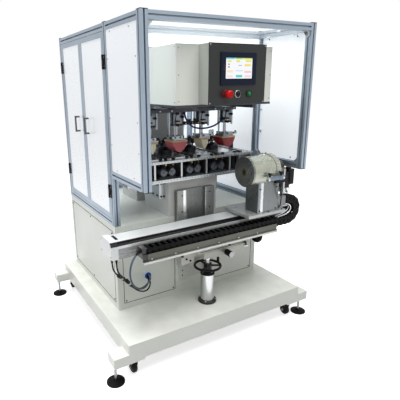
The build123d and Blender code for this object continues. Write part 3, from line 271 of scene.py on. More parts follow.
def seen_rays(tree):
    """1 where the ray comes straight from the camera, or off metal, or through glass."""
    path = put(tree, "ShaderNodeLightPath").outputs
    both = maths(tree, "MAXIMUM", path["Is Camera Ray"], path["Is Glossy Ray"])
    return maths(tree, "MAXIMUM", both, path["Is Transmission Ray"])


def make_world():
    world = bpy.data.worlds.new("studio")
    tree = emptied(world)
    level = put(tree, "ShaderNodeMapRange", {0: seen_rays(tree), 3: AMBIENT, 4: BACKDROP})
    back = put(tree, "ShaderNodeBackground", {"Color": WHITE, "Strength": level.outputs[0]})
    put(tree, "ShaderNodeOutputWorld", {"Surface": back.outputs[0]})
    bpy.context.scene.world = world


def make_floor():
    """A white sheet that shows the shadow, as a plane far larger than the view."""
    mesh = bpy.data.meshes.new("floor")
    corners = [(x * FLOOR_REACH, y * FLOOR_REACH, -FLOOR_DROP) for x, y in
               ((-1, -1), (1, -1), (1, 1), (-1, 1))]
    mesh.from_pydata(corners, [], [(0, 1, 2, 3)])
    floor = linked("floor", mesh)
    paper = bpy.data.materials.new("floor_paper")
    tree = emptied(paper)
    matt = put(tree, "ShaderNodeBsdfDiffuse", {"Color": PAPER_WHITE})
    glow = put(tree, "ShaderNodeEmission", {"Color": WHITE, "Strength": FLOOR_GLOW})
    both = put(tree, "ShaderNodeAddShader", {0: matt.outputs[0], 1: glow.outputs[0]})
    grey = put(tree, "ShaderNodeBsdfDiffuse", {"Color": PAPER_GREY})
    shown = put(tree, "ShaderNodeMixShader", {0: seen_rays(tree), 1: grey.outputs[0],
                                              2: both.outputs[0]})
    put(tree, "ShaderNodeOutputMaterial", {"Surface": shown.outputs[0]})
    mesh.materials.append(paper)


def soft_lamp(name, place, target, size, power):
    data = bpy.data.lights.new(name, "AREA")
    data.shape = "RECTANGLE"
    data.size, data.size_y = size
    data.energy = power
    turn = (Vector(target) - Vector(place)).to_track_quat("-Z", "Y").to_matrix().to_4x4()
    linked(name, data).matrix_world = Matrix.Translation(place) @ turn


make_world()
make_floor()
soft_lamp("key", (-4.2, -1.3, 3.0), (0, 0, 0.9), (2.6, 2.2), 38)
soft_lamp("top", (-0.9, 0.1, 4.8), (0, -0.3, 0.6), (2.2, 2.2), 172)
soft_lamp("front", (0.3, -2.2, 4.8), (0, -0.4, 0.4), (2.4, 2.4), 130)
soft_lamp("back", (0.6, 3.4, 3.0), (0, 0, 1.0), (3.0, 1.6), 25)
bpy.context.scene.view_settings.view_transform = "Standard"

# %% [markdown]
# ## Effects that many finishes share
# Paint, anodised metal, rubber and plastic differ in colour and gloss, but the things
# that make them look real repeat: the tone drifts a little from place to place, the
# skin has a fine grain, dust settles on what faces up, and edges catch the light or lose
# their coat. Each effect is a node group with named inputs, built once.

# %% Empty groups
COLOUR, NUMBER, ARROW = "NodeSocketColor", "NodeSocketFloat", "NodeSocketVector"
POSITION = ("Position", ARROW, (0, 0, 0))
SKIN_OUT = [("Colour", COLOUR), ("Roughness", NUMBER)]


def new_group(name, inputs, outputs):
    """An empty shader group: its tree, its input sockets, and a way to feed its outputs."""
    tree = bpy.data.node_groups.new(name, "ShaderNodeTree")
    for label, kind, value in inputs:
        socket = tree.interface.new_socket(name=label, in_out="INPUT", socket_type=kind)
        socket.default_value = value
    for label, kind in outputs:
        tree.interface.new_socket(name=label, in_out="OUTPUT", socket_type=kind)
    end = put(tree, "NodeGroupOutput")

    def give(label, socket):
        tree.links.new(socket, end.inputs[label])
    return tree, put(tree, "NodeGroupInput").outputs, give


# %% Tone drift: slow changes of tone and gloss over a surface
def tone_drift_group():
    tree, given, give = new_group(
        "tone drift",
        [POSITION, ("Colour", COLOUR, WHITE), ("Shade", COLOUR, WHITE),
         ("Patches per metre", NUMBER, 4.0), ("Amount", NUMBER, 0.5),
         ("Roughness", NUMBER, 0.5), ("Gloss change", NUMBER, 0.06)], SKIN_OUT)
    drift = noise(tree, given["Position"], given["Patches per metre"], 5.0)
    share = maths(tree, "MULTIPLY", ramped(tree, drift, 0.35, 0.68), given["Amount"])
    give("Colour", mixed(tree, share, given["Colour"], given["Shade"]))
    wave = ramped(tree, drift, 0.3, 0.7, -1.0, 1.0)
    change = maths(tree, "MULTIPLY", wave, given["Gloss change"])
    give("Roughness", maths(tree, "ADD", given["Roughness"], change))
    return tree


# %% Skin grain: orange peel, cast grain or long brush marks, by the stretch given
def skin_grain_group():
    tree, given, give = new_group(
        "skin grain",
        [POSITION, ("Stretch", ARROW, (1, 1, 1)), ("Grains per metre", NUMBER, 600.0),
         ("Colour", COLOUR, WHITE), ("Colour change", NUMBER, 0.05),
         ("Roughness", NUMBER, 0.5), ("Gloss change", NUMBER, 0.1)],
        SKIN_OUT + [("Height", NUMBER)])
    drawn = vectors(tree, "MULTIPLY", given["Position"], given["Stretch"])
    grain = noise(tree, drawn, given["Grains per metre"], 3.0)
    wave = ramped(tree, grain, 0.3, 0.7, -1.0, 1.0)
    bright = maths(tree, "ADD", 1.0, maths(tree, "MULTIPLY", wave, given["Colour change"]))
    give("Colour", vectors(tree, "SCALE", given["Colour"], bright))
    change = maths(tree, "MULTIPLY", wave, given["Gloss change"])
    give("Roughness", maths(tree, "ADD", given["Roughness"], change))
    give("Height", grain)
    return tree


# %% Edge wear: a mask that is 1 where the rounded normal leaves the flat one
def edge_wear_group():
    tree, given, give = new_group(
        "edge wear",
        [POSITION, ("Rounded normal", ARROW, (0, 0, 1)), ("Flat normal", ARROW, (0, 0, 1)),
         ("Wear", NUMBER, 0.5)], [("Mask", NUMBER)])
    agree = vectors(tree, "DOT_PRODUCT", given["Rounded normal"], given["Flat normal"])
    edge = ramped(tree, agree, 0.985, 0.86)
    broken = ramped(tree, noise(tree, given["Position"], 60.0, 4.0), 0.42, 0.62)
    worn = maths(tree, "MULTIPLY", edge, broken)
    give("Mask", maths(tree, "MULTIPLY", worn, given["Wear"], clamp=True))
    return tree


# %% Dust: settles on what faces up, thicker in some places
def dust_group():
    tree, given, give = new_group(
        "settled dust",
        [POSITION, ("Normal", ARROW, (0, 0, 1)), ("Colour", COLOUR, WHITE),
         ("Dust", COLOUR, (0.5, 0.48, 0.44, 1)), ("Amount", NUMBER, 0.2),
         ("Roughness", NUMBER, 0.5)], SKIN_OUT)
    up = put(tree, "ShaderNodeSeparateXYZ", {0: given["Normal"]}).outputs["Z"]
    patch = ramped(tree, noise(tree, given["Position"], 9.0, 6.0), 0.35, 0.7)
    lies = maths(tree, "MULTIPLY", ramped(tree, up, 0.5, 0.95), patch)
    share = maths(tree, "MULTIPLY", lies, given["Amount"], clamp=True)
    give("Colour", mixed(tree, share, given["Colour"], given["Dust"]))
    give("Roughness", maths(tree, "ADD", given["Roughness"],
                            maths(tree, "MULTIPLY", share, 0.4), clamp=True))
    return tree


# %% Zone: 1 inside a box of the machine, for a second colour on the same part
def zone_group():
    tree, given, give = new_group(
        "zone", [POSITION, ("Low", ARROW, (0, 0, 0)), ("High", ARROW, (1, 1, 1))],
        [("Mask", NUMBER)])
    above = vectors(tree, "SUBTRACT", given["Position"], given["Low"])
    below = vectors(tree, "SUBTRACT", given["High"], given["Position"])
    least = vectors(tree, "MINIMUM", above, below)
    axes = put(tree, "ShaderNodeSeparateXYZ", {0: least}).outputs
    low = maths(tree, "MINIMUM", axes["X"], maths(tree, "MINIMUM", axes["Y"], axes["Z"]))
    give("Mask", maths(tree, "GREATER_THAN", low, 0.0))
    return tree


tone_drift, skin_grain = tone_drift_group(), skin_grain_group()
edge_wear, dust, zone = edge_wear_group(), dust_group(), zone_group()
print("shared effects:", [g.name for g in bpy.data.node_groups])

# %% [markdown]
# ## One recipe for a finish
# A finish is a base colour with its shade, a gloss, a grain and how worn and dusty it
# is. The recipe places the shared groups in the order in which the real layers lie: tone
# first, grain over it, wear at the edges, dust on top. The Bevel node rounds every edge
# by less than a millimetre for the light alone, which is how folded sheet and machined
# blocks catch a highlight. Uniform values such as the coat stay on the shader itself.

# %% Finish recipe
BUMP_DEPTH = 0.0006


def srgb(red, green, blue):
    """A colour as seen on screen, from 0 to 255, as the linear light that Blender mixes."""
    def linear(c):
        c /= 255
        return c / 12.92 if c <= 0.04045 else ((c + 0.055) / 1.055) ** 2.4
    return (linear(red), linear(green), linear(blue), 1)


def use(tree, group, **inputs):
    """Place a shared group; an input's name is written with underscores."""
    named = {name.replace("_", " "): value for name, value in inputs.items()}
    return put(tree, "ShaderNodeGroup", named, node_tree=group).outputs


def finish(name, colour, roughness, metallic=0.0, shade=0.93, patches=3.0, drift=0.6,
           grains=500.0, stretch=(1, 1, 1), grain_colour=0.02, grain_gloss=0.05, bump=0.08,
           edge=0.8, wear=0.0, worn=1.4, dusty=0.1, zones=(), clear=None, **shader):
    """A procedural finish. Colours are seen on screen, from 0 to 255, and worn is one, or
    how much brighter the coat gets. A zone is (low corner, high corner, colour, roughness,
    metallic), and clear is (low corner, high corner, alpha) for a see-through place."""
    material = bpy.data.materials.new(name)
    tree = emptied(material)
    place = put(tree, "ShaderNodeTexCoord").outputs["Object"]
    where = put(tree, "ShaderNodeMapping", {"Vector": place}).outputs[0]
    flat = put(tree, "ShaderNodeNewGeometry").outputs["Normal"]
    colour = srgb(*colour)
    base, rough, metal = colour, roughness, metallic
    for low, high, tone, zone_rough, zone_metal in zones:
        mask = use(tree, zone, Position=place, Low=at(*low), High=at(*high))[0]
        base = mixed(tree, mask, base, srgb(*tone))
        rough = ramped(tree, mask, 0.0, 1.0, rough, zone_rough)
        metal = ramped(tree, mask, 0.0, 1.0, metal, zone_metal)
    shaded = vectors(tree, "SCALE", base if zones else base[:3], shade)
    toned = use(tree, tone_drift, Position=where, Colour=base, Shade=shaded,
                Patches_per_metre=patches, Amount=drift, Roughness=rough)
    grained = use(tree, skin_grain, Position=where, Stretch=stretch, Grains_per_metre=grains,
                  Colour=toned["Colour"], Colour_change=grain_colour,
                  Roughness=toned["Roughness"], Gloss_change=grain_gloss)
    tint, gloss, normal = grained["Colour"], grained["Roughness"], flat
    if edge:
        normal = put(tree, "ShaderNodeBevel", {"Radius": edge * MM}, samples=4).outputs[0]
    if wear:
        mask = use(tree, edge_wear, Position=where, Rounded_normal=normal, Flat_normal=flat,
                   Wear=wear)[0]
        bare = (*[c * worn for c in colour[:3]], 1) if isinstance(worn, float) else srgb(*worn)
        tint = mixed(tree, mask, tint, bare)
    if dusty:
        layer = use(tree, dust, Position=where, Normal=flat, Colour=tint, Amount=dusty,
                    Roughness=gloss)
        tint, gloss = layer["Colour"], layer["Roughness"]
    skin = put(tree, "ShaderNodeBump", {"Height": grained["Height"], "Strength": bump,
                                        "Distance": BUMP_DEPTH, "Normal": normal})
    inputs = {"Base Color": tint, "Roughness": gloss, "Metallic": metal,
              "Normal": skin.outputs[0]}
    inputs.update({key.replace("_", " "): value for key, value in shader.items()})
    # A glow in the finish's own colour; the guard sheets use it as painted light.
    if "Emission_Strength" in shader:
        inputs["Emission Color"] = tint
    if clear:
        mask = use(tree, zone, Position=place, Low=at(*clear[0]), High=at(*clear[1]))[0]
        inputs["Alpha"] = ramped(tree, mask, 0.0, 1.0, 1.0, clear[2])
    body = put(tree, "ShaderNodeBsdfPrincipled", inputs)
    put(tree, "ShaderNodeOutputMaterial", {"Surface": body.outputs[0]})
    return material


def dress(material, *names):
    """Give CAD parts their finish, in the material slots that they already have."""
    for name in names:
        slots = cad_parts[name].data.materials
        if not slots:
            slots.append(material)
        for index in range(len(slots)):
            slots[index] = material
    print(material.name, "on", ", ".join(names))


def recipe(**usual):
    """A kind of finish: its usual settings, each of which a finish may change."""
    def made(name, colour, roughness, **more):
        return finish(name, colour, roughness, **{**usual, **more})
    return made


painted = recipe(grains=260.0, grain_colour=0.008, bump=0.1, drift=0.5, wear=0.25, worn=0.75,
                 Coat_Weight=0.15)
metal = recipe(metallic=1.0, grains=900.0, grain_colour=0.07, grain_gloss=0.1, bump=0.06,
               drift=0.7, shade=0.86, wear=0.3, worn=(235, 235, 235), edge=0.5)
moulded = recipe(grains=700.0, grain_colour=0.03, bump=0.08, drift=0.5, shade=0.85, wear=0.2,
                 worn=(90, 90, 92), edge=0.6, dusty=0.01, Specular_IOR_Level=0.15)

# %% [markdown]
# ## Painted steel
# The cabinet, the deck and the head are sheet steel with a powder coat. The coat is warm
# white, has a soft orange peel and a satin gloss, and is a little darker where it is
# older. A thin clear coat stands for the resin on top.

# %% Painted parts
dress(painted("deck_paint", (234, 237, 230), 0.42, wear=0.45, dusty=0.3), "base")
dress(painted("cabinet_paint", (228, 232, 225), 0.42), "cabinet")
dress(painted("cover_paint", (230, 234, 227), 0.42), "access_covers")
dress(painted("head_paint", (236, 239, 231), 0.4), "head_housing")
dress(painted("box_paint", (178, 182, 174), 0.4), "control_box")
dress(painted("column_paint", (206, 207, 204), 0.42, dusty=0.2), "machine_columns")
dress(painted("cross_paint", (226, 226, 214), 0.36, dusty=0.25), "cross_plate")
dress(painted("charcoal_paint", (36, 38, 38), 0.42, wear=0.1, Specular_IOR_Level=0.3,
              worn=(120, 120, 118)), "panel_plate")

# %% [markdown]
# ## Aluminium and steel
# Extruded profile is anodised: a cool grey with fine lines along its length. Machined
# plates are brighter and brushed across, ground ways shine, and turned discs show rings.
# The same grain group makes all of these: a noise that is stretched far along one axis
# looks like brush marks along it.

# %% Metal parts
ALONG_X, ALONG_Y, ALONG_Z = ({"stretch": s} for s in ((0.04, 1, 1), (1, 0.04, 1), (1, 1, 0.04)))
ANODISED, SEAL_BLACK = (156, 169, 182), (5, 5, 6)
dress(metal("profile_anodised", ANODISED, 0.42, metallic=0.75, wear=0.1, **ALONG_Z),
      "guard_posts")
dress(metal("rail_anodised", ANODISED, 0.42, metallic=0.75, wear=0.1, **ALONG_Y),
      "guard_rails")
dress(metal("door_anodised", ANODISED, 0.42, metallic=0.75, wear=0.1, **ALONG_Z, zones=(
    ((-600, -260, 830), (-556.4, 620, 1900), (20, 21, 22), 0.42, 0.0),)),
      "front_door_frame", "rear_door_frame")
dress(metal("ground_way", (122, 124, 122), 0.36, metallic=0.6, **ALONG_Z, zones=(
    ((-142, -312, 340), (-71, -300, 975), (160, 162, 157), 0.34, 0.4),
    # The two narrow bright strips, one on each ground way, are painted highlights.
    ((-98, -312, 340), (-80, -308, 975), (222, 224, 226), 0.24, 0.9),
    ((68, -312, 340), (78, -308, 975), (222, 224, 226), 0.24, 0.9),
    ((78, -312, 340), (142, -308, 975), (150, 152, 150), 0.34, 0.6),
    ((-143, -313, 340), (143, -270, 600), (214, 217, 210), 0.42, 0.0))), "slide_way")
dress(metal("table_steel", (186, 189, 191), 0.36, dusty=0.3, **ALONG_X), "print_table")
dress(metal("printing_plate_steel", (206, 208, 210), 0.22, **ALONG_Y), "printing_plates")
dress(metal("underplate_steel", (70, 72, 76), 0.35, metallic=0.85, **ALONG_Y), "head_slide")
dress(metal("carriage_aluminium", (120, 126, 132), 0.3, **ALONG_Z, zones=(
    ((-400, -320, 1451.3), (400, -100, 1473), (66, 68, 72), 0.4, 0.9),)), "pad_carriage")
dress(metal("work_carriage_aluminium", (118, 122, 123), 0.3, metallic=0.8, grain_colour=0.22,
            **ALONG_Z, zones=(
                # A lighter band and a bright strip down the front of the post are painted
                # reflection.
                ((272, -601, 834), (284, -599, 1041), (136, 142, 146), 0.25, 0.9),
                ((284, -601, 834), (304, -599, 1041), (226, 230, 232), 0.24, 0.6),
                ((180, -620, 811), (495, -365, 832), (180, 183, 181), 0.38, 0.4))),
      "work_carriage")
dress(metal("module_aluminium", (228, 231, 231), 0.4, metallic=0.2, dusty=0.0,
            Specular_IOR_Level=0.2, **ALONG_X, zones=(
                ((-700, -520, 780), (700, -498, 801), SEAL_BLACK, 0.45, 0.0),
                ((-700, -380, 799), (700, -362, 801), SEAL_BLACK, 0.45, 0.0),
                ((-700, -520, 700), (700, -516, 764), (158, 160, 158), 0.4, 0.3))),
      "linear_module")
dress(metal("tray_steel", (92, 93, 84), 0.42, metallic=0.4, dusty=0.3, **ALONG_X, zones=(
    ((-540, -602, 670), (500, -594, 689), (178, 180, 176), 0.36, 0.5),
    ((-532, -602, 689), (-498, -515, 770), (26, 26, 27), 0.42, 0.0))), "chain_tray")
dress(metal("ram_steel", (156, 159, 162), 0.25, **ALONG_Z), *["pad_ram_" + n for n in "1234"])
dress(metal("knee_cast", (198, 199, 190), 0.42, metallic=0.2, edge=1.0, **ALONG_Z, zones=(
    ((-200, -425, 440), (200, -300, 720), (184, 187, 180), 0.4, 0.3),)), "knee")
dress(metal("screw_steel", (200, 201, 203), 0.25, **ALONG_Z), "jack_screw")
dress(metal("jack_steel", (190, 192, 192), 0.2, **ALONG_Z, zones=(
    ((-70, -520, 230), (70, -380, 248), (34, 35, 36), 0.4, 0.3),)), "jack_column")
dress(metal("face_steel", (122, 124, 121), 0.3, grains=160.0, grain_colour=0.02,
            grain_gloss=0.03, metallic=0.8, wear=0.1), "face_disc")

# %% [markdown]
# ## Guard sheets and the clear roof
# The guard's side sheets are milky white plastic, smooth, with a faint blue cast. A weak
# glow in their own colour is painted light, which brightens them as if light passed
# through. On the left side the same sheet takes a darker tone, a painted shade. The roof
# sheet is clear, so light falls on the head. The doors' handles are black plastic.

# %% Guard panels
ROOF = ((-516.5, -680, 1889), (516.5, -255, 1898), 0.12)
# Painted shade: a darker tone of the same sheet on the left side of the guard.
SHADED_LEFT_SIDE = ((-600, -750, 790), (-551, 700, 1950), (208, 211, 215), 0.3, 0.0)
HANDLES = ((-600, -300, 1300), (-556.5, 600, 1440), (62, 65, 68), 0.35, 0.0)
# Emission_Strength makes the sheets glow in their own colour: painted light, as they are no lamp.
sheet = recipe(shade=0.97, patches=1.2, drift=0.8, grains=120.0, grain_colour=0.004, bump=0.02,
               edge=0.4, dusty=0.0, clear=ROOF, Coat_Weight=0.3, Emission_Strength=0.47)
for name, zones, parts in (
        ("guard_sheet", (SHADED_LEFT_SIDE,), ["guard_panels"]),
        ("door_sheet", (SHADED_LEFT_SIDE, HANDLES), ["front_door_panel", "rear_door_panel"])):
    dress(sheet(name, (232, 236, 240), 0.3, zones=zones), *parts)

# %% [markdown]
# ## Rubber, silicone and moulded plastic
# Wheels and feet are black rubber and nylon, a bit grey from dust. The pads are silicone
# rubber: soft, slightly see-through at the skin and glossy where ink is wiped off. Each
# is cast on a wooden board.

# %% Rubber, silicone and plastic
PAD_BOARD = ((-400, -300, 1269.4), (400, -100, 1281), (206, 178, 134), 0.5, 0.0)
FOOT_STEMS = ((-760, -650, 24), (760, 650, 200), (150, 152, 154), 0.32, 0.9)
black_fitting = moulded("black_fitting", (22, 23, 25), 0.42)
cup_black = moulded("cup_black", (48, 49, 52), 0.32, metallic=0.6)
silicone = recipe(shade=0.86, patches=18.0, drift=0.6, grains=300.0, grain_colour=0.02,
                  bump=0.04, edge=1.0, dusty=0.05, zones=(PAD_BOARD,), Coat_Weight=0.3,
                  Subsurface_Weight=0.12, Subsurface_Scale=0.01)
dress(silicone("cream_silicone", (240, 232, 200), 0.3), "pad_1", "pad_3")
dress(silicone("pink_silicone", (204, 84, 92), 0.3), "pad_2")
dress(silicone("dark_red_silicone", (158, 40, 44), 0.3), "pad_4")
dress(moulded("foot_finish", (12, 13, 14), 0.6, zones=(FOOT_STEMS,), dusty=0.0,
              Specular_IOR_Level=0.1), "levelling_feet")
dress(moulded("black_nylon", (14, 15, 16), 0.38, dusty=0.0),
      *["caster_fork_" + n for n in "1234"])
dress(moulded("tread_rubber", (22, 22, 23), 0.6, dusty=0.15),
      *["caster_wheel_" + n for n in "1234"])
dress(black_fitting, "caps_and_hinges")
dress(moulded("wheel_bakelite", (18, 18, 20), 0.2, wear=0.1), "jack_handwheel",
      "cross_handwheel")
dress(moulded("cylinder_black", (62, 65, 68), 0.36), "shuttle_cylinders")
dress(cup_black, "ink_cups")
dress(moulded("bezel_plastic", (18, 25, 46), 0.28, dusty=0.0), "touch_screen")
dress(moulded("grommet_blue", (46, 96, 190), 0.35, worn=(90, 140, 220)), "cable_grommet")
dress(moulded("stop_red", (196, 22, 24), 0.26, worn=(226, 80, 70)), "stop_button")
dress(moulded("push_black", (20, 20, 22), 0.26), "black_button")
dress(moulded("push_green", (20, 138, 72), 0.26, worn=(60, 170, 110)), "green_button")
dress(moulded("chain_black", (26, 26, 28), 0.4, Specular_IOR_Level=0.1), "energy_chain")

# %% [markdown]
# ## Parts of two materials
# The rotary head is one part in the model, but its housing wears a thin greenish film,
# its motor is black and its air cylinder blue-grey. A zone mask changes the finish
# inside a box, so the part keeps one material.

# %% Rotary head and knob
dress(finish("housing_film", (176, 180, 164), 0.22, metallic=0.45, shade=0.8, patches=16.0,
             drift=0.9, grains=45.0, stretch=(0.25, 1, 1), grain_colour=0.06,
             grain_gloss=0.1, bump=0.5, edge=0.6, dusty=0.0, Coat_Weight=0.8, zones=(
                 ((402, -650, 990), (410.5, -430, 1200), (230, 230, 214), 0.4, 0.1),
                 ((410.5, -600, 1040), (490, -480, 1145), (60, 58, 54), 0.4, 0.5))),
      "rotary_housing")
dress(moulded("drive_finish", (30, 31, 34), 0.36, zones=(
    ((280, -680, 1030), (412, -630, 1085), (120, 132, 146), 0.4, 0.6),
    ((483, -600, 930), (497, -480, 1090), (176, 179, 182), 0.35, 1.0),
    ((490, -600, 905), (560, -500, 953), (190, 192, 194), 0.28, 1.0),
    ((497, -600, 1062.5), (560, -480, 1075), (196, 160, 92), 0.3, 1.0))), "rotary_drive")
dress(moulded("knob_finish", (20, 20, 22), 0.3, zones=(
    ((60, -600, 540), (140, -565.2, 620), (150, 152, 154), 0.3, 0.9),)), "clamp_knob")

# %% [markdown]
# ## Shapes for the small parts
# Small parts are gathered into one mesh per group that moves together, built from a few
# kinds of solid: a block, a turned form, a rod between two points, a flat plate, a
# knurled knob and a bent tube. All but the block are rings of corners with a skin over
# them. A finished piece has its doubles merged, its normals turned outwards and its
# edges bevelled where it is asked for, and rides on its body.

# %% Solid helpers
LEFT, RIGHT, FRONT, BACK, UP, DOWN = ((-1, 0, 0), (1, 0, 0), (0, -1, 0), (0, 1, 0),
                                      (0, 0, 1), (0, 0, -1))
SAME_PLACE = 0.00002
SMOOTH_ANGLE, BEVEL_ANGLE = 35, 40


def add_block(mesh, x, y, z):
    """A block from its limits in X, Y and Z, which may come in either order."""
    corners = list(zip(*map(sorted, (x, y, z))))
    low, high = at(*corners[0]), at(*corners[1])
    turn = Matrix.Translation((low + high) / 2) @ Matrix.Diagonal((*(high - low), 1))
    bmesh.ops.create_cube(mesh, size=1, matrix=turn)


def around(count, radius, start=0.0):
    """Points on a circle, as pairs."""
    angles = [start + 2 * math.pi * step / count for step in range(count)]
    return [(radius * math.cos(angle), radius * math.sin(angle)) for angle in angles]


def skin(mesh, rings, caps=True):
    """Faces between rings of corners, and over both ends; a ring of one is a tip."""
    for ring, after in zip(rings, rings[1:]):
        for one in range(max(len(ring), len(after))):
            two = one + 1
            corners = (ring[one % len(ring)], ring[two % len(ring)],
                       after[two % len(after)], after[one % len(after)])
            corners = list(dict.fromkeys(corners))
            if len(corners) > 2:
                mesh.faces.new(corners)
    for ring in (rings[0], rings[-1]) if caps else ():
        if len(ring) > 2:
            mesh.faces.new(ring)


def add_rings(mesh, origin, direction, rings):
    """A skin over flat rings: each is (distance along the axis, pairs across it)."""
    turn = Vector(direction).normalized().to_track_quat("Z", "Y").to_matrix().to_4x4()
    place = Matrix.Translation(at(*origin)) @ turn
    skin(mesh, [[mesh.verts.new(place @ (Vector((a, b, along)) * MM)) for a, b in pairs]
                for along, pairs in rings])


def add_turned(mesh, origin, direction, profile, sides=28):
    """A turned form: profile lists (distance along the axis, radius), in millimetres."""
    add_rings(mesh, origin, direction, [(along, around(sides, radius) if radius else [(0, 0)])
                                        for along, radius in profile])


def add_knurled(mesh, origin, direction, radius, height, teeth=20):
    """A knob whose rim is cut by straight knurls."""
    rim = [(a * (1 if step % 2 else 0.92), b * (1 if step % 2 else 0.92))
           for step, (a, b) in enumerate(around(teeth * 2, radius))]
    add_rings(mesh, origin, direction, [(0, rim), (height, rim)])


def add_rod(mesh, start, end, radius, sides=16):
    """A round rod between two points."""
    way = Vector(end) - Vector(start)
    add_turned(mesh, start, way, ((0, radius), (way.length, radius)), sides)


def add_plate(mesh, outline, front, back):
    """A flat plate whose outline is given in X and Z."""
    skin(mesh, [[mesh.verts.new(at(x, y, z)) for x, z in outline] for y in (front, back)])


def add_bent_tube(mesh, points, radius, sides=10, steps=7):
    """A tube along a smooth line through its points."""
    line = []
    ends = [Vector(points[0]) * 2 - Vector(points[1]), *map(Vector, points),
            Vector(points[-1]) * 2 - Vector(points[-2])]
    for a, b, c, d in zip(ends, ends[1:], ends[2:], ends[3:]):
        for step in range(steps):
            t = step / steps
            line.append(0.5 * (2 * b + (c - a) * t + (2 * a - 5 * b + 4 * c - d) * t ** 2
                               + (3 * b - a - 3 * c + d) * t ** 3))
    line.append(Vector(points[-1]))
    rings, side = [], None
    for before, here, after in zip([line[0]] + line, line, line[1:] + [line[-1]]):
        way = (after - before).normalized()
        side = way.orthogonal() if side is None else side - side.project(way)
        side.normalize()
        other = way.cross(side)
        rings.append([mesh.verts.new(at(*(here + a * side + b * other)))
                      for a, b in around(sides, radius)])
    skin(mesh, rings)


def closed(name, mesh):
    """An object of a gathered mesh, with doubles merged and normals outwards."""
    bmesh.ops.remove_doubles(mesh, verts=mesh.verts, dist=SAME_PLACE)
    bmesh.ops.recalc_face_normals(mesh, faces=mesh.faces)
    data = bpy.data.meshes.new(name)
    mesh.to_mesh(data)
    mesh.free()
    return linked(name, data)


def smoothed(piece, angle=SMOOTH_ANGLE):
    for face in piece.data.polygons:
        face.use_smooth = True
    piece.data.set_sharp_from_angle(angle=math.radians(angle))


def finished(name, mesh, material, body="machine", bevel=0.6,
             smooth=SMOOTH_ANGLE):
    """Close a gathered mesh into a piece that rides on a body."""
    piece = closed(name, mesh)
    piece.data.materials.append(material)
    smoothed(piece, smooth)
    if bevel:
        edge = piece.modifiers.new("edges", "BEVEL")
        edge.width = bevel * MM
        edge.segments = 2
        edge.limit_method = "ANGLE"
        edge.angle_limit = math.radians(BEVEL_ANGLE)
        edge.harden_normals = True
    if body:
        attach(piece, body)
    print(name, len(piece.data.polygons), "faces")
    return piece


# %% [markdown]
# ## Screws, made once and placed many times
# The machine shows dozens of socket screws. Geometry Nodes place one screw on every
# point of a cloud and turn it to face along an attribute, so a row of screws is only a
# list of points. The sizes are inputs of the tree. The tree ends with the instances made
# real and their material set, and the result is kept as a plain mesh.

# %% Screw tree
def geometry_tree(name, inputs):
    """An empty shape tree: the tree, its input sockets, and what takes its result."""
    tree = bpy.data.node_groups.new(name, "GeometryNodeTree")
    shape = "NodeSocketGeometry"
    for label, kind, value in [("Geometry", shape, None)] + inputs:
        socket = tree.interface.new_socket(name=label, in_out="INPUT", socket_type=kind)
        if value is not None:
            socket.default_value = value
    tree.interface.new_socket(name="Geometry", in_out="OUTPUT", socket_type=shape)
    return tree, put(tree, "NodeGroupInput").outputs, put(tree, "NodeGroupOutput").inputs[0]


def on_points(tree, points, shape, turn, **more):
    """A shape on every point, made real."""
    placed = put(tree, "GeometryNodeInstanceOnPoints", {
        "Points": points, "Instance": shape, "Rotation": turn.outputs[0], **more})
    return put(tree, "GeometryNodeRealizeInstances", {"Geometry": placed.outputs[0]}).outputs[0]


def painted_shape(tree, shape, material):
    return put(tree, "GeometryNodeSetMaterial", {"Geometry": shape,
                                                 "Material": material}).outputs[0]


def ring_of(tree, sides, radius, depth, lift, material):
    """A short cylinder that stands on its seat."""
    disc = put(tree, "GeometryNodeMeshCylinder", {"Vertices": sides, "Radius": radius,
                                                  "Depth": depth})
    rise = maths(tree, "ADD", maths(tree, "MULTIPLY", depth, 0.5), lift)
    middle = put(tree, "ShaderNodeCombineXYZ", {"Z": rise}).outputs[0]
    stood = put(tree, "GeometryNodeTransform", {"Geometry": disc.outputs["Mesh"],
                                                "Translation": middle})
    return painted_shape(tree, stood.outputs[0], material)


def screw_tree():
    tree, given, result = geometry_tree("socket screws", [
        ("Head radius", NUMBER, 0.006), ("Head height", NUMBER, 0.005),
        ("Socket radius", NUMBER, 0.003), ("Steel", "NodeSocketMaterial", None),
        ("Socket", "NodeSocketMaterial", None)])
    height = given["Head height"]
    screw = put(tree, "GeometryNodeJoinGeometry")
    for part in (ring_of(tree, 20, given["Head radius"], height, 0.0, given["Steel"]),
                 # The socket is a thin dark hexagon on the head: painted shade for the recess.
                 ring_of(tree, 6, given["Socket radius"], 0.0002, height, given["Socket"])):
        tree.links.new(part, screw.inputs[0])
    way = put(tree, "GeometryNodeInputNamedAttribute", {"Name": "facing"},
              data_type="FLOAT_VECTOR")
    turn = put(tree, "FunctionNodeAlignRotationToVector", {"Vector": way.outputs[0]},
               axis="Z")
    tree.links.new(on_points(tree, given["Geometry"], screw.outputs[0], turn), result)
    return tree


def point_cloud(name, places, ways, attribute):
    """Loose points in machine millimetres, each with a direction or a turn."""
    data = bpy.data.meshes.new(name)
    data.from_pydata([at(*p) for p in places], [], [])
    named = data.attributes.new(attribute, "FLOAT_VECTOR", "POINT")
    named.data.foreach_set("vector", [c for way in ways for c in way])
    return linked(name, data)


def grown(points, tree, values, materials):
    """Run a tree on its points and keep the result as a plain mesh."""
    grow = points.modifiers.new("grow", "NODES")
    grow.node_group = tree
    sockets = {s.name: s.identifier for s in tree.interface.items_tree
               if s.in_out == "INPUT"}
    for name, value in values.items():
        grow[sockets[name]] = value
    mesh = mesh_of(points)
    points.modifiers.remove(grow)
    points.data = mesh
    for material in materials:
        if material.name not in [m.name for m in mesh.materials if m]:
            mesh.materials.append(material)
    smoothed(points)
    return points


screws = screw_tree()
bright_steel = metal("bright_steel", (196, 198, 201), 0.25, edge=0.3)
black_steel = moulded("black_steel", (30, 31, 33), 0.35, edge=0.3)
# A flat near-black finish for screw sockets: painted shade where the recess would be.
socket_dark = moulded("socket_dark", (8, 8, 9), 0.7, edge=0)


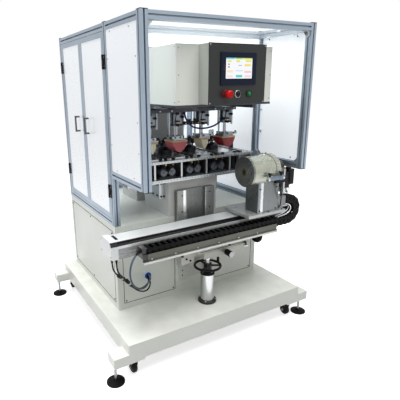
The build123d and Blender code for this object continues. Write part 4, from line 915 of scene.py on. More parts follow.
def screw_row(name, way, radius, height, places, body="machine", black=False):
    """Socket screws at machine places, all facing one way and riding on a body."""
    steel = black_steel if black else bright_steel
    piece = grown(point_cloud(name, places, [way] * len(places), "facing"), screws, {
        "Head radius": radius * MM, "Head height": height * MM,
        "Socket radius": radius * 0.5 * MM, "Steel": steel, "Socket": socket_dark},
        (steel, socket_dark))
    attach(piece, body)
    print(name, len(places), "screws")


# %% [markdown]
# ## Dressing the leads
# Each lead now gets its sheath and its boot. A lead leaves its module through a tapered
# rubber boot, so that it doesn't break at the edge. The end in the grommet stays with the
# cabinet and the end at the module goes up and down with the knee.

# %% Leads
lead_black = moulded("lead_black", (22, 22, 24), 0.45, edge=0)
lead_grey = moulded("lead_grey", (96, 108, 126), 0.45, edge=0, worn=(130, 140, 156))
RIBS, RIB_STEP, RIB_TAPER, RIB_CUT, BOOT_WALL = 5, 6, 0.7, 1.2, 4


def lead_boot(name, line, width):
    """A ribbed, tapered boot round the first stretch of a lead."""
    mesh = bmesh.new()
    profile = [(0, width / 2 + BOOT_WALL)]
    for rib in range(RIBS):
        thick = width / 2 + BOOT_WALL - rib * RIB_TAPER
        profile += [(rib * RIB_STEP + 1, thick), (rib * RIB_STEP + RIB_STEP * 0.6, thick),
                    (rib * RIB_STEP + RIB_STEP * 0.7, thick - RIB_CUT),
                    (rib * RIB_STEP + RIB_STEP, thick - RIB_CUT)]
    add_turned(mesh, back_from(line[0]), line[2] - line[0], profile, 20)
    return finished(name, mesh, black_fitting, "cross_slide", bevel=0)


for tube, line, width, sheath, slot, node, boot_name in (
        (lead_one, line_one, LEAD_WIDTH, lead_black, "lead_black", "module_leads", "boot_one"),
        (lead_two, line_two, LEAD_WIDTH, lead_black, "lead_black", "module_leads", "boot_two"),
        (lead_three, line_three, CHAIN_LEAD_WIDTH, lead_grey, "lead_grey", "chain_lead",
         "boot_three")):
    boot = lead_boot(boot_name, line, width)
    tube.data.materials.clear()
    tube.data.materials.append(sheath)
    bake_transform(tube)
    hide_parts(node)

# %% [markdown]
# ## Screws of the guard and of the panel
# The side sheets are held in their frames by small screws, the hinge leaves by two screws
# each, and the control panel by one in each corner. All are rows of points for the screw
# tree.

# %% Guard and panel screws
FRONT_SHEET = ((-563, 1880), (-327, 1884), (-628, 1744), (-281, 1751), (-628, 1440),
               (-281, 1440), (-632, 1290), (-284, 1292), (-569, 1155), (-347, 1154))
REAR_SHEET = ((-150, 1860), (180, 1860), (500, 1860), (-150, 880), (180, 880),
              (500, 880), (-205, 1500), (-205, 1150), (560, 1500), (560, 1150))
PANEL_FRONT = -691
screw_row("left_sheet_screws", LEFT, 4.5, 2, [(-553, *place) for place in FRONT_SHEET])
screw_row("right_sheet_screws", RIGHT, 4.5, 2,
          [(553, *place) for place in FRONT_SHEET + REAR_SHEET])
screw_row("right_sheet_nuts", LEFT, 4.5, 3, [(548, *place) for place in FRONT_SHEET],
          black=True)
screw_row("back_sheet_screws", BACK, 4.5, 2, grid((-470, 0, 470), (613,), (860, 1365, 1870)))
LEAF_HEIGHTS = [z + rise for z in (1012, 1738) for rise in (-24, 24)]
screw_row("hinge_screws", LEFT, 3.5, 2, grid((-560,), (-243, 588), LEAF_HEIGHTS))
for door, leaf_y in (("front_door", -217), ("rear_door", 562)):
    screw_row(door + "_hinge_screws", LEFT, 3.5, 2, grid((-560,), (leaf_y,), LEAF_HEIGHTS),
              door)
screw_row("panel_corner_screws", FRONT, 3.6, 1.6,
          grid((-178, 178), (PANEL_FRONT,), (1519, 1803)))
screw_row("head_cover_screws", FRONT, 3.2, 1.5, grid((-305, 305), (-600,), (1530, 1660, 1790)))
for name, x, way in (("head_side_screws", -320, LEFT), ("head_side_screws_right", 320, RIGHT)):
    screw_row(name, way, 3.2, 1.5, grid((x,), (-585, -100, 400), (1525, 1795)))

# %% [markdown]
# ## Corner brackets of the frame
# Cut lengths of profile meet end to side, and a cast angle with two screws holds each
# joint from the inside. One bracket is modelled, and a tree of copies puts it in the
# corners, turned by an attribute of its point.

# %% Copies tree and corner brackets
def copies_tree():
    tree, given, result = geometry_tree("copies", [
        ("Copy", "NodeSocketObject", None), ("Finish", "NodeSocketMaterial", None),
        ("Size", NUMBER, 1.0)])
    one = put(tree, "GeometryNodeObjectInfo", {"Object": given["Copy"]},
              transform_space="ORIGINAL")
    turn = put(tree, "GeometryNodeInputNamedAttribute", {"Name": "turn"},
               data_type="FLOAT_VECTOR")
    spin = put(tree, "FunctionNodeEulerToRotation", {0: turn.outputs[0]})
    even = put(tree, "ShaderNodeCombineXYZ", {axis: given["Size"] for axis in "XYZ"})
    real = on_points(tree, given["Geometry"], one.outputs["Geometry"], spin,
                     Scale=even.outputs[0])
    tree.links.new(painted_shape(tree, real, given["Finish"]), result)
    return tree


copies = copies_tree()


def pattern(name, mesh):
    """A shape about its own origin that the copies tree repeats."""
    bmesh.ops.translate(mesh, verts=mesh.verts, vec=(0, -middle_y, 0))
    return closed(name, mesh)


def repeated(name, shape, places, turns, material, body=None):
    """Copies of a shape at machine places, riding on a body if one is given."""
    piece = grown(point_cloud(name, places, turns, "turn"), copies,
                  {"Copy": shape, "Finish": material, "Size": 1.0}, (material,))
    if body:
        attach(piece, body)
    print(name, len(places), "copies,", len(piece.data.polygons), "faces")
    return piece


def bracket_shape():
    """A cast angle: two plates at a right angle and two ribs, 30 mm each way."""
    mesh = bmesh.new()
    add_block(mesh, (0, 30), (-14, 14), (0, 4))
    add_block(mesh, (0, 4), (-14, 14), (0, 30))
    for y in (-14, 11):
        add_plate(mesh, ((3, 3), (28, 3), (3, 28)), y, y + 3)
    return pattern("bracket", mesh)


HALF, QUARTER = math.pi, math.pi / 2
corners = [((x, y, 1896), (HALF, 0, spin)) for x, spin in ((-516, 0), (516, HALF))
           for y in (-670, -251, 596)]
for x in (-536, 536):
    corners += [((x, y, 1139), (0, 0, spin)) for y, spin in ((-650, QUARTER), (-271, -QUARTER))]
corners += [((536, y, 837), (0, 0, spin)) for y, spin in ((-231, QUARTER), (576, -QUARTER))]
bracket = bracket_shape()
repeated("corner_brackets", bracket, *zip(*corners),
         metal("cast_grey", (172, 176, 180), 0.45, grains=400.0, bump=0.2), "machine")
bpy.data.objects.remove(bracket)

# %% [markdown]
# ## Touch screen and push buttons
# The screen is lit, so it emits its own picture: blocks of colour on white, drawn by
# zones in the material, with no words. The glass over it is a coat. Each button sits in
# a turned ring, silver for the black one.

# %% Screen picture and button rings
SCREEN_LEFT, SCREEN_RIGHT, SCREEN_LOW, SCREEN_HIGH = -86, 86, 1639, 1741
SCREEN_FACE, SCREEN_GAP = -698.2, 0.4
PICTURE_BLOCKS = (
    ((0.00, 0.93), (0.32, 1.00), (96, 206, 214)), ((0.34, 0.93), (0.62, 1.00), (150, 214, 92)),
    ((0.64, 0.93), (1.00, 1.00), (206, 222, 84)), ((0.06, 0.79), (0.20, 0.88), (240, 226, 96)),
    ((0.38, 0.79), (0.52, 0.88), (232, 224, 70)), ((0.74, 0.80), (0.96, 0.90), (236, 228, 110)),
    ((0.08, 0.66), (0.14, 0.72), (206, 70, 70)), ((0.08, 0.53), (0.14, 0.59), (60, 66, 120)),
    ((0.70, 0.60), (0.94, 0.70), (246, 222, 80)), ((0.46, 0.62), (0.60, 0.66), (170, 180, 206)),
    ((0.04, 0.30), (0.26, 0.40), (250, 232, 170)), ((0.36, 0.36), (0.64, 0.40), (190, 214, 240)),
    ((0.70, 0.28), (0.96, 0.38), (250, 196, 206)), ((0.38, 0.06), (0.62, 0.18), (70, 204, 196)),
    ((0.04, 0.06), (0.26, 0.16), (250, 226, 232)), ((0.72, 0.06), (0.96, 0.16), (250, 214, 220)))


def on_screen(across, up, y):
    """A place on the screen from its shares of the width and the height."""
    return at(SCREEN_LEFT + across * (SCREEN_RIGHT - SCREEN_LEFT), y,
              SCREEN_LOW + up * (SCREEN_HIGH - SCREEN_LOW))


def screen_material():
    material = bpy.data.materials.new("screen_picture")
    tree = emptied(material)
    place = put(tree, "ShaderNodeTexCoord").outputs["Object"]
    colour = srgb(250, 251, 253)
    for low, top, tone in PICTURE_BLOCKS:
        mask = use(tree, zone, Position=place, Low=on_screen(*low, -720),
                   High=on_screen(*top, -680))[0]
        colour = mixed(tree, mask, colour, srgb(*tone))
    body = put(tree, "ShaderNodeBsdfPrincipled", {
        "Base Color": (0.02, 0.02, 0.02, 1), "Roughness": 0.08, "Coat Weight": 0.5,
        "Emission Color": colour, "Emission Strength": 0.92})
    put(tree, "ShaderNodeOutputMaterial", {"Surface": body.outputs[0]})
    return material


mesh = bmesh.new()
add_block(mesh, (SCREEN_LEFT + SCREEN_GAP, SCREEN_RIGHT - SCREEN_GAP),
          (SCREEN_FACE, SCREEN_FACE + 0.6), (SCREEN_LOW + SCREEN_GAP, SCREEN_HIGH - SCREEN_GAP))
finished("lit_screen", mesh, screen_material(), bevel=0.2)
chrome = metal("ring_chrome", (214, 216, 218), 0.2, edge=0.2, metallic=0.4)
stop_collar_red = moulded("stop_collar_red", (150, 14, 18), 0.3)
for name, x, material, inner, outer, front in (
        ("stop_ring", -75, stop_collar_red, 17.3, 22, 6),
        ("black_ring", 0, chrome, 17.2, 19.5, 5),
        ("green_ring", 75, black_fitting, 17.2, 19.5, 5)):
    mesh = bmesh.new()
    add_turned(mesh, (x, PANEL_FRONT, 1562), FRONT, (
        (0, inner), (0, outer), (front - 1.5, outer), (front, outer - 1.5),
        (front, inner + 1), (front - 2, inner), (0, inner)), 36)
    finished(name, mesh, material, bevel=0)
mesh = bmesh.new()
for z in (1704, 1694, 1684):
    add_turned(mesh, (-98, -698.9, z), FRONT, ((0, 1.8), (0.5, 1.6), (0.8, 0)), 10)
finished("bezel_lamps", mesh, finish("lamp_red", (190, 40, 36), 0.3, edge=0), bevel=0)

# %% [markdown]
# ## Cylinders of the pad head
# Each pad has its own air cylinder under the carriage. Its ends are darker castings with
# a screw in each corner, and a speed valve with a brass adjusting screw stands at the
# front, where its hose goes in. A valve bar bridges the middle pair.

# %% Cylinder ends, valves and screws
PAD_PLACES, PAD_Y = (-285, -95, 95, 285), -218
CYLINDER_LOW, CYLINDER_HIGH, CAP_HALF, CAP_CUT = 1367.5, 1451.5, 34.2, 27.2
cast_dark = metal("cast_dark", (96, 100, 106), 0.42, grains=500.0, bump=0.15, metallic=0.8)
brass = metal("brass", (206, 172, 98), 0.25, edge=0.3)
navy_plastic = moulded("navy_plastic", (36, 48, 92), 0.35, worn=(80, 96, 150))
CAP_OUTLINE = (
    (CAP_HALF, CAP_CUT), (CAP_CUT, CAP_HALF), (-CAP_CUT, CAP_HALF), (-CAP_HALF, CAP_CUT),
    (-CAP_HALF, -CAP_CUT), (-CAP_CUT, -CAP_HALF), (CAP_CUT, -CAP_HALF), (CAP_HALF, -CAP_CUT))
mesh = bmesh.new()
for x in PAD_PLACES:
    for z, thick in ((CYLINDER_LOW - 0.6, 13), (CYLINDER_HIGH - 15, 14.6)):
        skin(mesh, [[mesh.verts.new(at(x + a, PAD_Y + b, level)) for a, b in CAP_OUTLINE]
                    for level in (z, z + thick)])
finished("cylinder_ends", mesh, cast_dark, "pad_head")
mesh = bmesh.new()
for x in PAD_PLACES:
    for z in (CYLINDER_LOW + 6, CYLINDER_HIGH - 8):
        add_rod(mesh, (x - 14, PAD_Y - 34, z), (x - 14, PAD_Y - 44, z), 7)
        add_block(mesh, (x - 20, x - 8), (PAD_Y - 56, PAD_Y - 44), (z - 7, z + 9))
    add_turned(mesh, (x + 15, PAD_Y - 34, CYLINDER_LOW + 6), FRONT,
               ((0, 6), (8, 6), (9, 4), (15, 4), (15, 0)), 6)
for x in (-14, 30):
    add_block(mesh, (x - 9, x + 9), (-250, -236), (1391, 1405))
add_block(mesh, (-61.5, 61.5), (-248, -232), (1370, 1391))
finished("speed_valves", mesh, black_fitting, "pad_head")
mesh = bmesh.new()
for x, z in product(PAD_PLACES, (CYLINDER_LOW + 15, CYLINDER_HIGH + 1)):
    add_turned(mesh, (x - 14, PAD_Y - 50, z), UP,
               ((0, 3.4), (5, 3.4), (5, 4.6), (9, 4.6), (9, 0)), 12)
for x in (-40, 8, 52):
    add_turned(mesh, (x, -248, 1380), FRONT, ((0, 4.5), (5, 4.5), (6, 2.5), (8, 0)), 6)
finished("valve_screws", mesh, brass, "pad_head", bevel=0)
screw_row("cylinder_screws", DOWN, 4, 1,
          grid([x + a for x in PAD_PLACES for a in (-26, 26)], (PAD_Y - 26, PAD_Y + 26),
               (CYLINDER_LOW - 0.6,)), "pad_head")
screw_row("carriage_screws", FRONT, 4.2, 3.5,
          grid((-310, -240, -160, 20, 160, 240, 310), (-280,), (1461.5,)), "pad_head")

# %% [markdown]
# ## Rams and pad boards
# Under each cylinder hangs a block with a collar for its rod, a foot plate and the wooden
# board on which the pad is cast. A stud with a washer and a nut stands at each corner of
# the foot. These small things ride with their own ram.

# %% Ram fittings
for number, x in zip("1234", PAD_PLACES):
    mesh = bmesh.new()
    add_turned(mesh, (x, PAD_Y, 1305.5), UP, ((0, 17), (1, 17), (1, 10.5)), 28)
    for place in grid((x - 36, x + 36), (PAD_Y - 34, PAD_Y + 34), (1287.5,)):
        add_turned(mesh, place, UP,
                   ((0, 6), (3, 6), (3, 3.2), (12, 3.2), (12, 5.4), (17, 5.4), (18, 4)), 12)
    finished("ram_collars_" + number, mesh, black_steel, "ram_" + number, bevel=0)

# %% [markdown]
# ## Ink cups
# An ink cup is a closed pot that stands upside down on the plate, pressed down by a
# spring and a knurled nut on its stud. The mechanism round it is black and crowded:
# yokes, guide pins, adjusting knobs on the cross bar and a second bar behind for the
# drive of the plates. The springs are round wire wound on a helix.

# %% Cup mechanism
CUP_Y, CUP_TOP, BAR_LOW, BAR_HIGH, REAR_BAR = -78, 1208.6, 1246, 1261, 55


def add_spring(mesh, x, y, z, height, radius, wire, turns):
    coils = around(8, radius) * turns + [(radius, 0)]
    add_bent_tube(mesh, [(x + a, y + b, z + height * step / (turns * 8))
                         for step, (a, b) in enumerate(coils)], wire, sides=6, steps=2)


mesh = bmesh.new()
for x in PAD_PLACES:
    add_knurled(mesh, (x, CUP_Y, CUP_TOP + 0.2), UP, 18, 8)
    for side in (-1, 1):
        add_block(mesh, (x + side * 22, x + side * 34), (CUP_Y - 12, CUP_Y + 12),
                  (1222, BAR_LOW - 0.2))
        add_rod(mesh, (x + side * 28, CUP_Y, 1209), (x + side * 28, CUP_Y, 1222), 4)
        add_block(mesh, (x + side * 58, x + side * 70), (CUP_Y - 8, CUP_Y + 30),
                  (1226, BAR_LOW - 0.2))
    add_block(mesh, (x - 34, x + 34), (CUP_Y + 12, CUP_Y + 20), (1224, BAR_LOW - 0.2))
    add_knurled(mesh, (x, CUP_Y, BAR_HIGH), UP, 15, 12)
    add_rod(mesh, (x, CUP_Y, BAR_HIGH + 12), (x, CUP_Y, BAR_HIGH + 20), 5)
    add_knurled(mesh, (x + 46, CUP_Y, BAR_HIGH), UP, 8, 16, teeth=12)
add_block(mesh, (-474, 474), (REAR_BAR, REAR_BAR + 24), (1204, 1224))
for x in (-466, 466):
    add_block(mesh, (x - 8, x + 8), (REAR_BAR, REAR_BAR + 24), (1164.2, 1204))
for x in PAD_PLACES:
    add_block(mesh, (x - 38, x + 38), (REAR_BAR - 4, REAR_BAR + 34), (1224, 1246))
    for side in (-26, 0, 26):
        add_rod(mesh, (x + side, REAR_BAR + 6, 1246), (x + side, REAR_BAR + 6, 1258), 6)
finished("cup_mechanism", mesh, cup_black, bevel=0.8)
mesh = bmesh.new()
for x in PAD_PLACES:
    add_spring(mesh, x, CUP_Y, CUP_TOP + 8, 28, 12.5, 1.5, 5)
    for side in (-1, 1):
        add_rod(mesh, (x + side * 38, CUP_Y - 15.2, 1253), (x + side * 38, CUP_Y - 25, 1253), 4)
        add_rod(mesh, (x + side * 64, CUP_Y - 8, 1238), (x + side * 64, CUP_Y - 20, 1238), 3)
        add_rod(mesh, (x + side * 64, CUP_Y + 11, 1226), (x + side * 64, CUP_Y + 11, 1180), 3.5)
finished("cup_springs", mesh, bright_steel, bevel=0)
screw_row("bar_screws", UP, 4.5, 4,
          grid([x + a for x in PAD_PLACES for a in (-60, -30, 30)], (CUP_Y,), (BAR_HIGH,)))
mesh = bmesh.new()
for x in (-190, 0, 190):
    add_block(mesh, (x - 11, x + 11), (-290, 128), (1164.2, 1178))
    for y in range(-278, 115, 56):
        add_turned(mesh, (x, y, 1178), UP, ((0, 5), (4, 5), (4, 2.6), (2, 2.6), (2, 0)), 12)
for side in (-1, 1):
    add_block(mesh, (side * 366, side * 384), (-290, 128), (1164.2, 1178))
finished("plate_guides", mesh, metal("guide_steel", (112, 114, 117), 0.35, **ALONG_Y))
mesh = bmesh.new()
for x, side in product(PAD_PLACES, (-50, 50)):
    add_block(mesh, (x + side - 10, x + side + 10), (-276, -268.2), (1166, 1176))
    add_knurled(mesh, (x + side, -276, 1171), FRONT, 5, 7, teeth=12)
finished("plate_clamps", mesh, black_steel, "plate_shuttle", bevel=0.4)

# %% [markdown]
# ## Table edges and the bays
# Rows of small screws hold the dividers between the table's two plates; from a few
# metres away they look like a dotted line. In the open bays sit the twin cylinders that
# shuttle the plates, with dark end caps, tie rods and black valves.

# %% Table screws and bay cylinders
EDGE_PLACES = range(-462, 463, 22)
for name, z, radius, height in (("upper_edge_screws", 1156.5, 4.4, 3.2),
                                ("lower_edge_screws", 1040, 5.6, 4)):
    screw_row(name, FRONT, radius, height, grid(EDGE_PLACES, (-300,), (z,)))
screw_row("table_side_screws", LEFT, 4.4, 3, grid((-475,), range(-280, 140, 42), (1040, 1156.5)))
screw_row("table_top_screws", UP, 5, 4, grid((-440, 440), range(-280, 130, 40), (1164,)))
BAYS, BAY_Z = (-380, -190, 0, 190), 1090.8
mesh = bmesh.new()
for x, side in product(BAYS, (-28.5, 28.5)):
    add_turned(mesh, (x + side, -276.2, BAY_Z), FRONT, (
        (0, 24), (5, 24), (6.5, 22.5), (6.5, 11), (9, 11), (9, 6), (15, 6), (15, 0)), 32)
    for a, b in around(4, 19, QUARTER / 2):
        add_turned(mesh, (x + side + a, -282.6, BAY_Z + b), FRONT,
                   ((0, 3.4), (3, 3.4), (3, 0)), 6)
add_block(mesh, (334, 352), (-276, -262), (1052, 1146))
finished("bay_cylinder_caps", mesh, cast_dark, bevel=0.4)
mesh = bmesh.new()
for x in BAYS:
    add_block(mesh, (x - 44, x - 12), (-281, -262), (1121, 1146))
    add_block(mesh, (x + 6, x + 40), (-279, -260), (1119, 1144))
    add_rod(mesh, (x - 34, -281, 1132), (x - 34, -290, 1132), 6)
    add_turned(mesh, (x + 24, -279, 1130), FRONT, ((0, 6), (6, 6), (6, 4), (11, 4), (11, 0)), 12)
    add_bent_tube(mesh, ((x - 34, -290, 1132), (x - 34, -296, 1122), (x - 22, -296, 1106),
                         (x - 2, -292, 1100), (x + 12, -286, 1110), (x + 24, -288, 1126)), 3.4)
finished("bay_valves", mesh, black_fitting, bevel=0.5)
mesh = bmesh.new()
for x in BAYS:
    add_turned(mesh, (x - 20, -281, 1140), FRONT,
               ((0, 3.4), (7, 3.4), (7, 4.8), (10, 4.8), (10, 0)), 10)
    add_turned(mesh, (x + 34, -279, 1138), FRONT, ((0, 3), (6, 3), (6, 0)), 8)
finished("bay_adjusters", mesh, brass, bevel=0)
screw_row("bracket_bolts", FRONT, 6.5, 5, grid((-193, -213, 193), (-226,), (925, 1010)),
          black=True)
screw_row("bracket_side_bolts", LEFT, 6.5, 5, grid((-225.3,), (-200, -145), (930, 1000)),
          black=True)

# %% [markdown]
# ## The energy chain, link by link
# The hoses and wires of the carriage lie in a chain of plastic links. A link has two side
# plates that overlap the next link at a round pin, and a bar across the top and the
# bottom. The lower run stays in its tray, a half circle of links carries it over, and the
# last link is screwed to the carriage. Stops in the real links keep the bend round.
#
# The chain is one soft part to the model: its lower end stays with the cross slide and
# its upper end moves with the carriage. It is made in two pieces, split at the outermost
# point of the bend.

# %% Chain
PITCH, LINK_HIGH, LINK_WIDE, LINK_PLATE = 37.5, 56, 55, 3
CHAIN_FRONT, CHAIN_LEFT, CHAIN_LOW = -585, -499, 736.4
LOW_LINKS, BEND_LINKS, BEND_RADIUS = 28, 6, 72.45
CHAIN_START, CHAIN_END = at(-500, -557, 736), at(1802, -557, 736)


def link_shape():
    """One link with its first pin at the origin, pointing along +X."""
    mesh = bmesh.new()
    half = LINK_HIGH / 2
    outer = ((-7, -half + 8), (-1, -half + 1), (26, -half + 1), (26, half - 1),
             (-1, half - 1), (-7, half - 8))
    inner = ((14, -half + 3), (PITCH + 3, -half + 3), (PITCH + 10, -half + 10),
             (PITCH + 10, half - 10), (PITCH + 3, half - 3), (14, half - 3))
    for front, way in ((0, LINK_PLATE / 2), (LINK_WIDE, -LINK_PLATE / 2)):
        add_plate(mesh, outer, *sorted((front, front + way)))
        add_plate(mesh, inner, *sorted((front + way, front + 2 * way)))
    for level in (-half, half - 4):
        add_block(mesh, (6, 22), (0.5, LINK_WIDE - 0.5), (level, level + 4))
    add_turned(mesh, (0, 0.4, 0), FRONT, ((0, 7), (0.4, 7), (0.4, 3), (0, 3)), 16)
    for level in (-14, 14):
        add_block(mesh, (17, 21), (-0.4, 0.4), (level - 5, level + 5))
    return pattern("link", mesh)


def chain_pins():
    """The pins of the whole chain and the turn of the link that starts at each."""
    end_x, middle = CHAIN_LEFT + PITCH * LOW_LINKS, CHAIN_LOW + BEND_RADIUS
    step = math.pi / BEND_LINKS
    pins = [(CHAIN_LEFT + PITCH * n, CHAIN_LOW, 0.0) for n in range(LOW_LINKS)]
    for n in range(BEND_LINKS):
        pins.append((end_x + BEND_RADIUS * math.sin(step * n),
                     middle - BEND_RADIUS * math.cos(step * n), step * (n + 0.5)))
    return pins + [(end_x, middle + BEND_RADIUS, math.pi)]


pins, link = chain_pins(), link_shape()
chain_black = moulded("chain_link_black", (9, 9, 10), 0.5, wear=0.15, worn=(34, 34, 36),
                      edge=0.2, dusty=0.0, Specular_IOR_Level=0.1)
outermost = LOW_LINKS + BEND_LINKS // 2
for name, some, start, end in (
        ("chain_low", pins[:outermost], CHAIN_START, CHAIN_END),
        ("chain_high", pins[outermost:], at(788.5, -557, 880), at(513.5, -557, 880))):
    piece = repeated(name, link, [(x, CHAIN_FRONT, z) for x, z, turn in some],
                     [(0, -turn, 0) for x, z, turn in some], chain_black)
    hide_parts("energy_chain")
    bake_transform(piece)
bpy.data.objects.remove(link)

# %% [markdown]
# ## Motion module and its tray
# The module is an aluminium profile closed by a steel band, with black seal strips along
# both edges. Its front edge is finely ribbed, and so is the lip of the tray below, so the
# two look dotted from a distance. Fine ribs are laid out by the tree of copies.

# %% Ribs and end screws
TRAY_FRONT = -600
rib_metal = metal("rib_aluminium", (222, 224, 224), 0.35, grains=300.0, metallic=0.5)


def ribbed(name, size, xs, y, z, material):
    """A row of upright ribs of one size, on a body of the cross slide."""
    wide, deep, high = size
    mesh = bmesh.new()
    add_block(mesh, (0, wide), (-deep, 0), (0, high))
    rib = pattern(name + "_one", mesh)
    places = grid(xs, (y,), (z,))
    repeated(name, rib, places, [(0, 0, 0)] * len(places), material, "cross_slide")
    bpy.data.objects.remove(rib)


ribbed("module_ribs", (4, 1.6, 12), range(-672, 672, 8), -518, 766, rib_metal)
ribbed("tray_ribs", (4, 1.4, 9), range(-524, 438, 8), TRAY_FRONT, 677, rib_metal)
for name, x, way in (("module_left_screws", -680.2, LEFT), ("module_right_screws", 680.2, RIGHT)):
    screw_row(name, way, 6, 3, grid((x,), (-505, -371), (720, 785)), "cross_slide")
screw_row("tray_screws", FRONT, 3.5, 2, grid(range(-480, 420, 150), (TRAY_FRONT,), (703,)),
          "cross_slide")
mesh = bmesh.new()
for x in (-662, 620):
    add_block(mesh, (x, x + 42), (-470, -406), (800.2, 804))
finished("band_clamps", mesh, black_fitting, "cross_slide")

# %% [markdown]
# ## Slide way and knee
# The two ground ways of the slide are screwed on with black screws. The knee's saddle
# carries bolts of the same kind, a small side plate, and a clamp lever that locks the
# height. The jack's column is closed by a black ring and stands on four screws.

# %% Slide way screws and knee fittings
JACK_Y, JACK_BOLTS = -447, 52
screw_row("way_screws", FRONT, 5.4, 3, grid((-106, 106), (-306.4,), (383, 418, 828, 933)),
          black=True)
screw_row("knee_bolts", FRONT, 7, 5, grid((-118, 118), (-343.5,), (492, 662)), "knee",
          black=True)
screw_row("bracket_face_bolts", FRONT, 6.5, 4, [(-150, -430, 556), (-122, -430, 540)], "knee",
          black=True)
mesh = bmesh.new()
add_block(mesh, (-162, -154), (-436, -430), (640, 684))
add_rod(mesh, (-187, -440, 655), (-205, -446, 655), 6)
add_rod(mesh, (-203, -446, 655), (-209, -470, 618), 4.5)
add_turned(mesh, (-209, -470, 618), (0, -0.5, -0.8),
           ((0, 7), (10, 9), (17, 9), (21, 5), (22, 0)), 20)
finished("height_clamp", mesh, black_steel, "knee")
mesh = bmesh.new()
add_turned(mesh, (0, JACK_Y, 431), UP,
           ((0, 45), (0, 47), (7, 47), (8.5, 45.5), (8.5, 34), (0, 34)), 40)
finished("jack_top_ring", mesh, black_steel)
screw_row("jack_base_screws", UP, 4.5, 4,
          [(JACK_BOLTS * math.cos(a), JACK_Y + JACK_BOLTS * math.sin(a), 247)
           for a in (0.785, 2.356, 3.927, 5.498)])

# %% [markdown]
# ## Scale and clamp of the cross plate
# A thin engraved rule runs along the front of the cross plate, with a pointer screw and a
# small knurled disc that locks the plate where it is set.

# %% Cross plate fittings
CROSS_FRONT = -500
mesh = bmesh.new()
add_block(mesh, (-92, 262), (CROSS_FRONT - 1.2, CROSS_FRONT), (611, 613.4))
finished("cross_rule", mesh, black_steel, "cross_slide", bevel=0)
ribbed("cross_marks", (1.6, 0.6, 4), range(-88, 258, 8), CROSS_FRONT, 628, black_steel)
mesh = bmesh.new()
add_turned(mesh, (128, CROSS_FRONT, 622), FRONT, ((0, 7), (9, 7), (11, 5), (11, 0)), 18)
add_rod(mesh, (256, CROSS_FRONT + 4, 612), (256, CROSS_FRONT - 16, 612), 6)
add_rod(mesh, (256, CROSS_FRONT - 12, 618), (256, CROSS_FRONT - 12, 598), 5)
finished("cross_pointer", mesh, black_steel, "cross_slide")
mesh = bmesh.new()
add_knurled(mesh, (256, CROSS_FRONT - 12, 588), UP, 15, 10, teeth=24)
finished("cross_lock_disc", mesh, rib_metal, "cross_slide", bevel=0.3)

# %% [markdown]
# ## Rotary head
# The head turns a round product under the pads. Its face plate has turned rings and a
# bush with a small bore. A small air cylinder beside the drum drives the index pin, and
# the motor's plug hangs behind.

# %% Rotary head fittings
HEAD_Y, HEAD_Z, INDEX_Y, MOTOR_X = -540, 1093, -652, 527
mesh = bmesh.new()
add_turned(mesh, (196, HEAD_Y, HEAD_Z), LEFT, ((0, 22), (1.2, 22), (1.2, 15), (0, 12.4)), 32)
finished("face_bush", mesh, metal("olive_brass", (104, 100, 44), 0.3), "work_face", bevel=0)
mesh = bmesh.new()
for radius in (88, 62):
    add_turned(mesh, (195.6, HEAD_Y, HEAD_Z), LEFT,
               ((0, radius + 1.5), (0.6, radius + 1.5), (0.6, radius), (0, radius)), 64)
finished("face_rings", mesh, metal("ring_dark", (84, 86, 84), 0.35), "work_face", bevel=0)
mesh = bmesh.new()
add_turned(mesh, (292, INDEX_Y, 1058), LEFT, ((0, 15), (8, 15), (9, 13), (9, 0)))
add_turned(mesh, (398, INDEX_Y, 1058), RIGHT, ((0, 15), (12, 15), (12, 8), (20, 8), (20, 5)))
finished("index_cylinder_ends", mesh, bright_steel, "work_carriage", bevel=0.4)
mesh = bmesh.new()
for x in (300, 392):
    add_rod(mesh, (x, INDEX_Y, 1070), (x, INDEX_Y, 1084), 6)
    add_block(mesh, (x - 7, x + 7), (-660, -640), (1082, 1094))
add_block(mesh, (372, 452), (-636, -612), (1018, 1043))
add_block(mesh, (500, 552), (-545, -508), (1063, 1082))
add_rod(mesh, (420, -624, 1018), (420, -624, 990), 9)
finished("index_fittings", mesh, black_fitting, "work_carriage", bevel=0.8)
mesh = bmesh.new()
add_turned(mesh, (MOTOR_X, HEAD_Y, 955), DOWN, ((0, 21), (6, 21), (6, 18), (20, 18), (20, 20),
                                                (30, 20), (30, 16.5), (42, 16.5), (42, 0)))
for a, b in around(6, 15):
    add_rod(mesh, (MOTOR_X + a, HEAD_Y + b, 912), (MOTOR_X + a, HEAD_Y + b, 904), 3)
finished("motor_plug", mesh, metal("plug_metal", (196, 197, 196), 0.25), "work_carriage",
         bevel=0.4)
screw_row("carrier_screws", UP, 5, 4, grid((350, 462), (-606, -474), (830,)), "work_carriage",
          black=True)
screw_row("post_screws", FRONT, 4.5, 3, grid((280, 412), (-600,), (845, 985)), "work_carriage",
          black=True)
screw_row("drive_plate_screws", RIGHT, 4.5, 3, grid((496,), (-578, -502), (945, 1075)),
          "work_carriage")

# %% [markdown]
# ## Hoses
# Air hoses are thin plastic tubes, pushed into fittings and left a little long, so that
# they hang in a bow. The navy one joins the cylinders of the pad head, black ones feed
# the index cylinder and the motor, and silver sleeved hoses lie in the bend of the chain.

# %% Hoses and sleeves
def hose(name, places, width, material, body=None):
    """A free hose with both ends on the machine; it rides a body, or stays where it is made."""
    tube, line = lead_tube(name, places, width)
    tube.data.materials.clear()
    tube.data.materials.append(material)
    if body:
        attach(tube, body)
    else:
        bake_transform(tube)


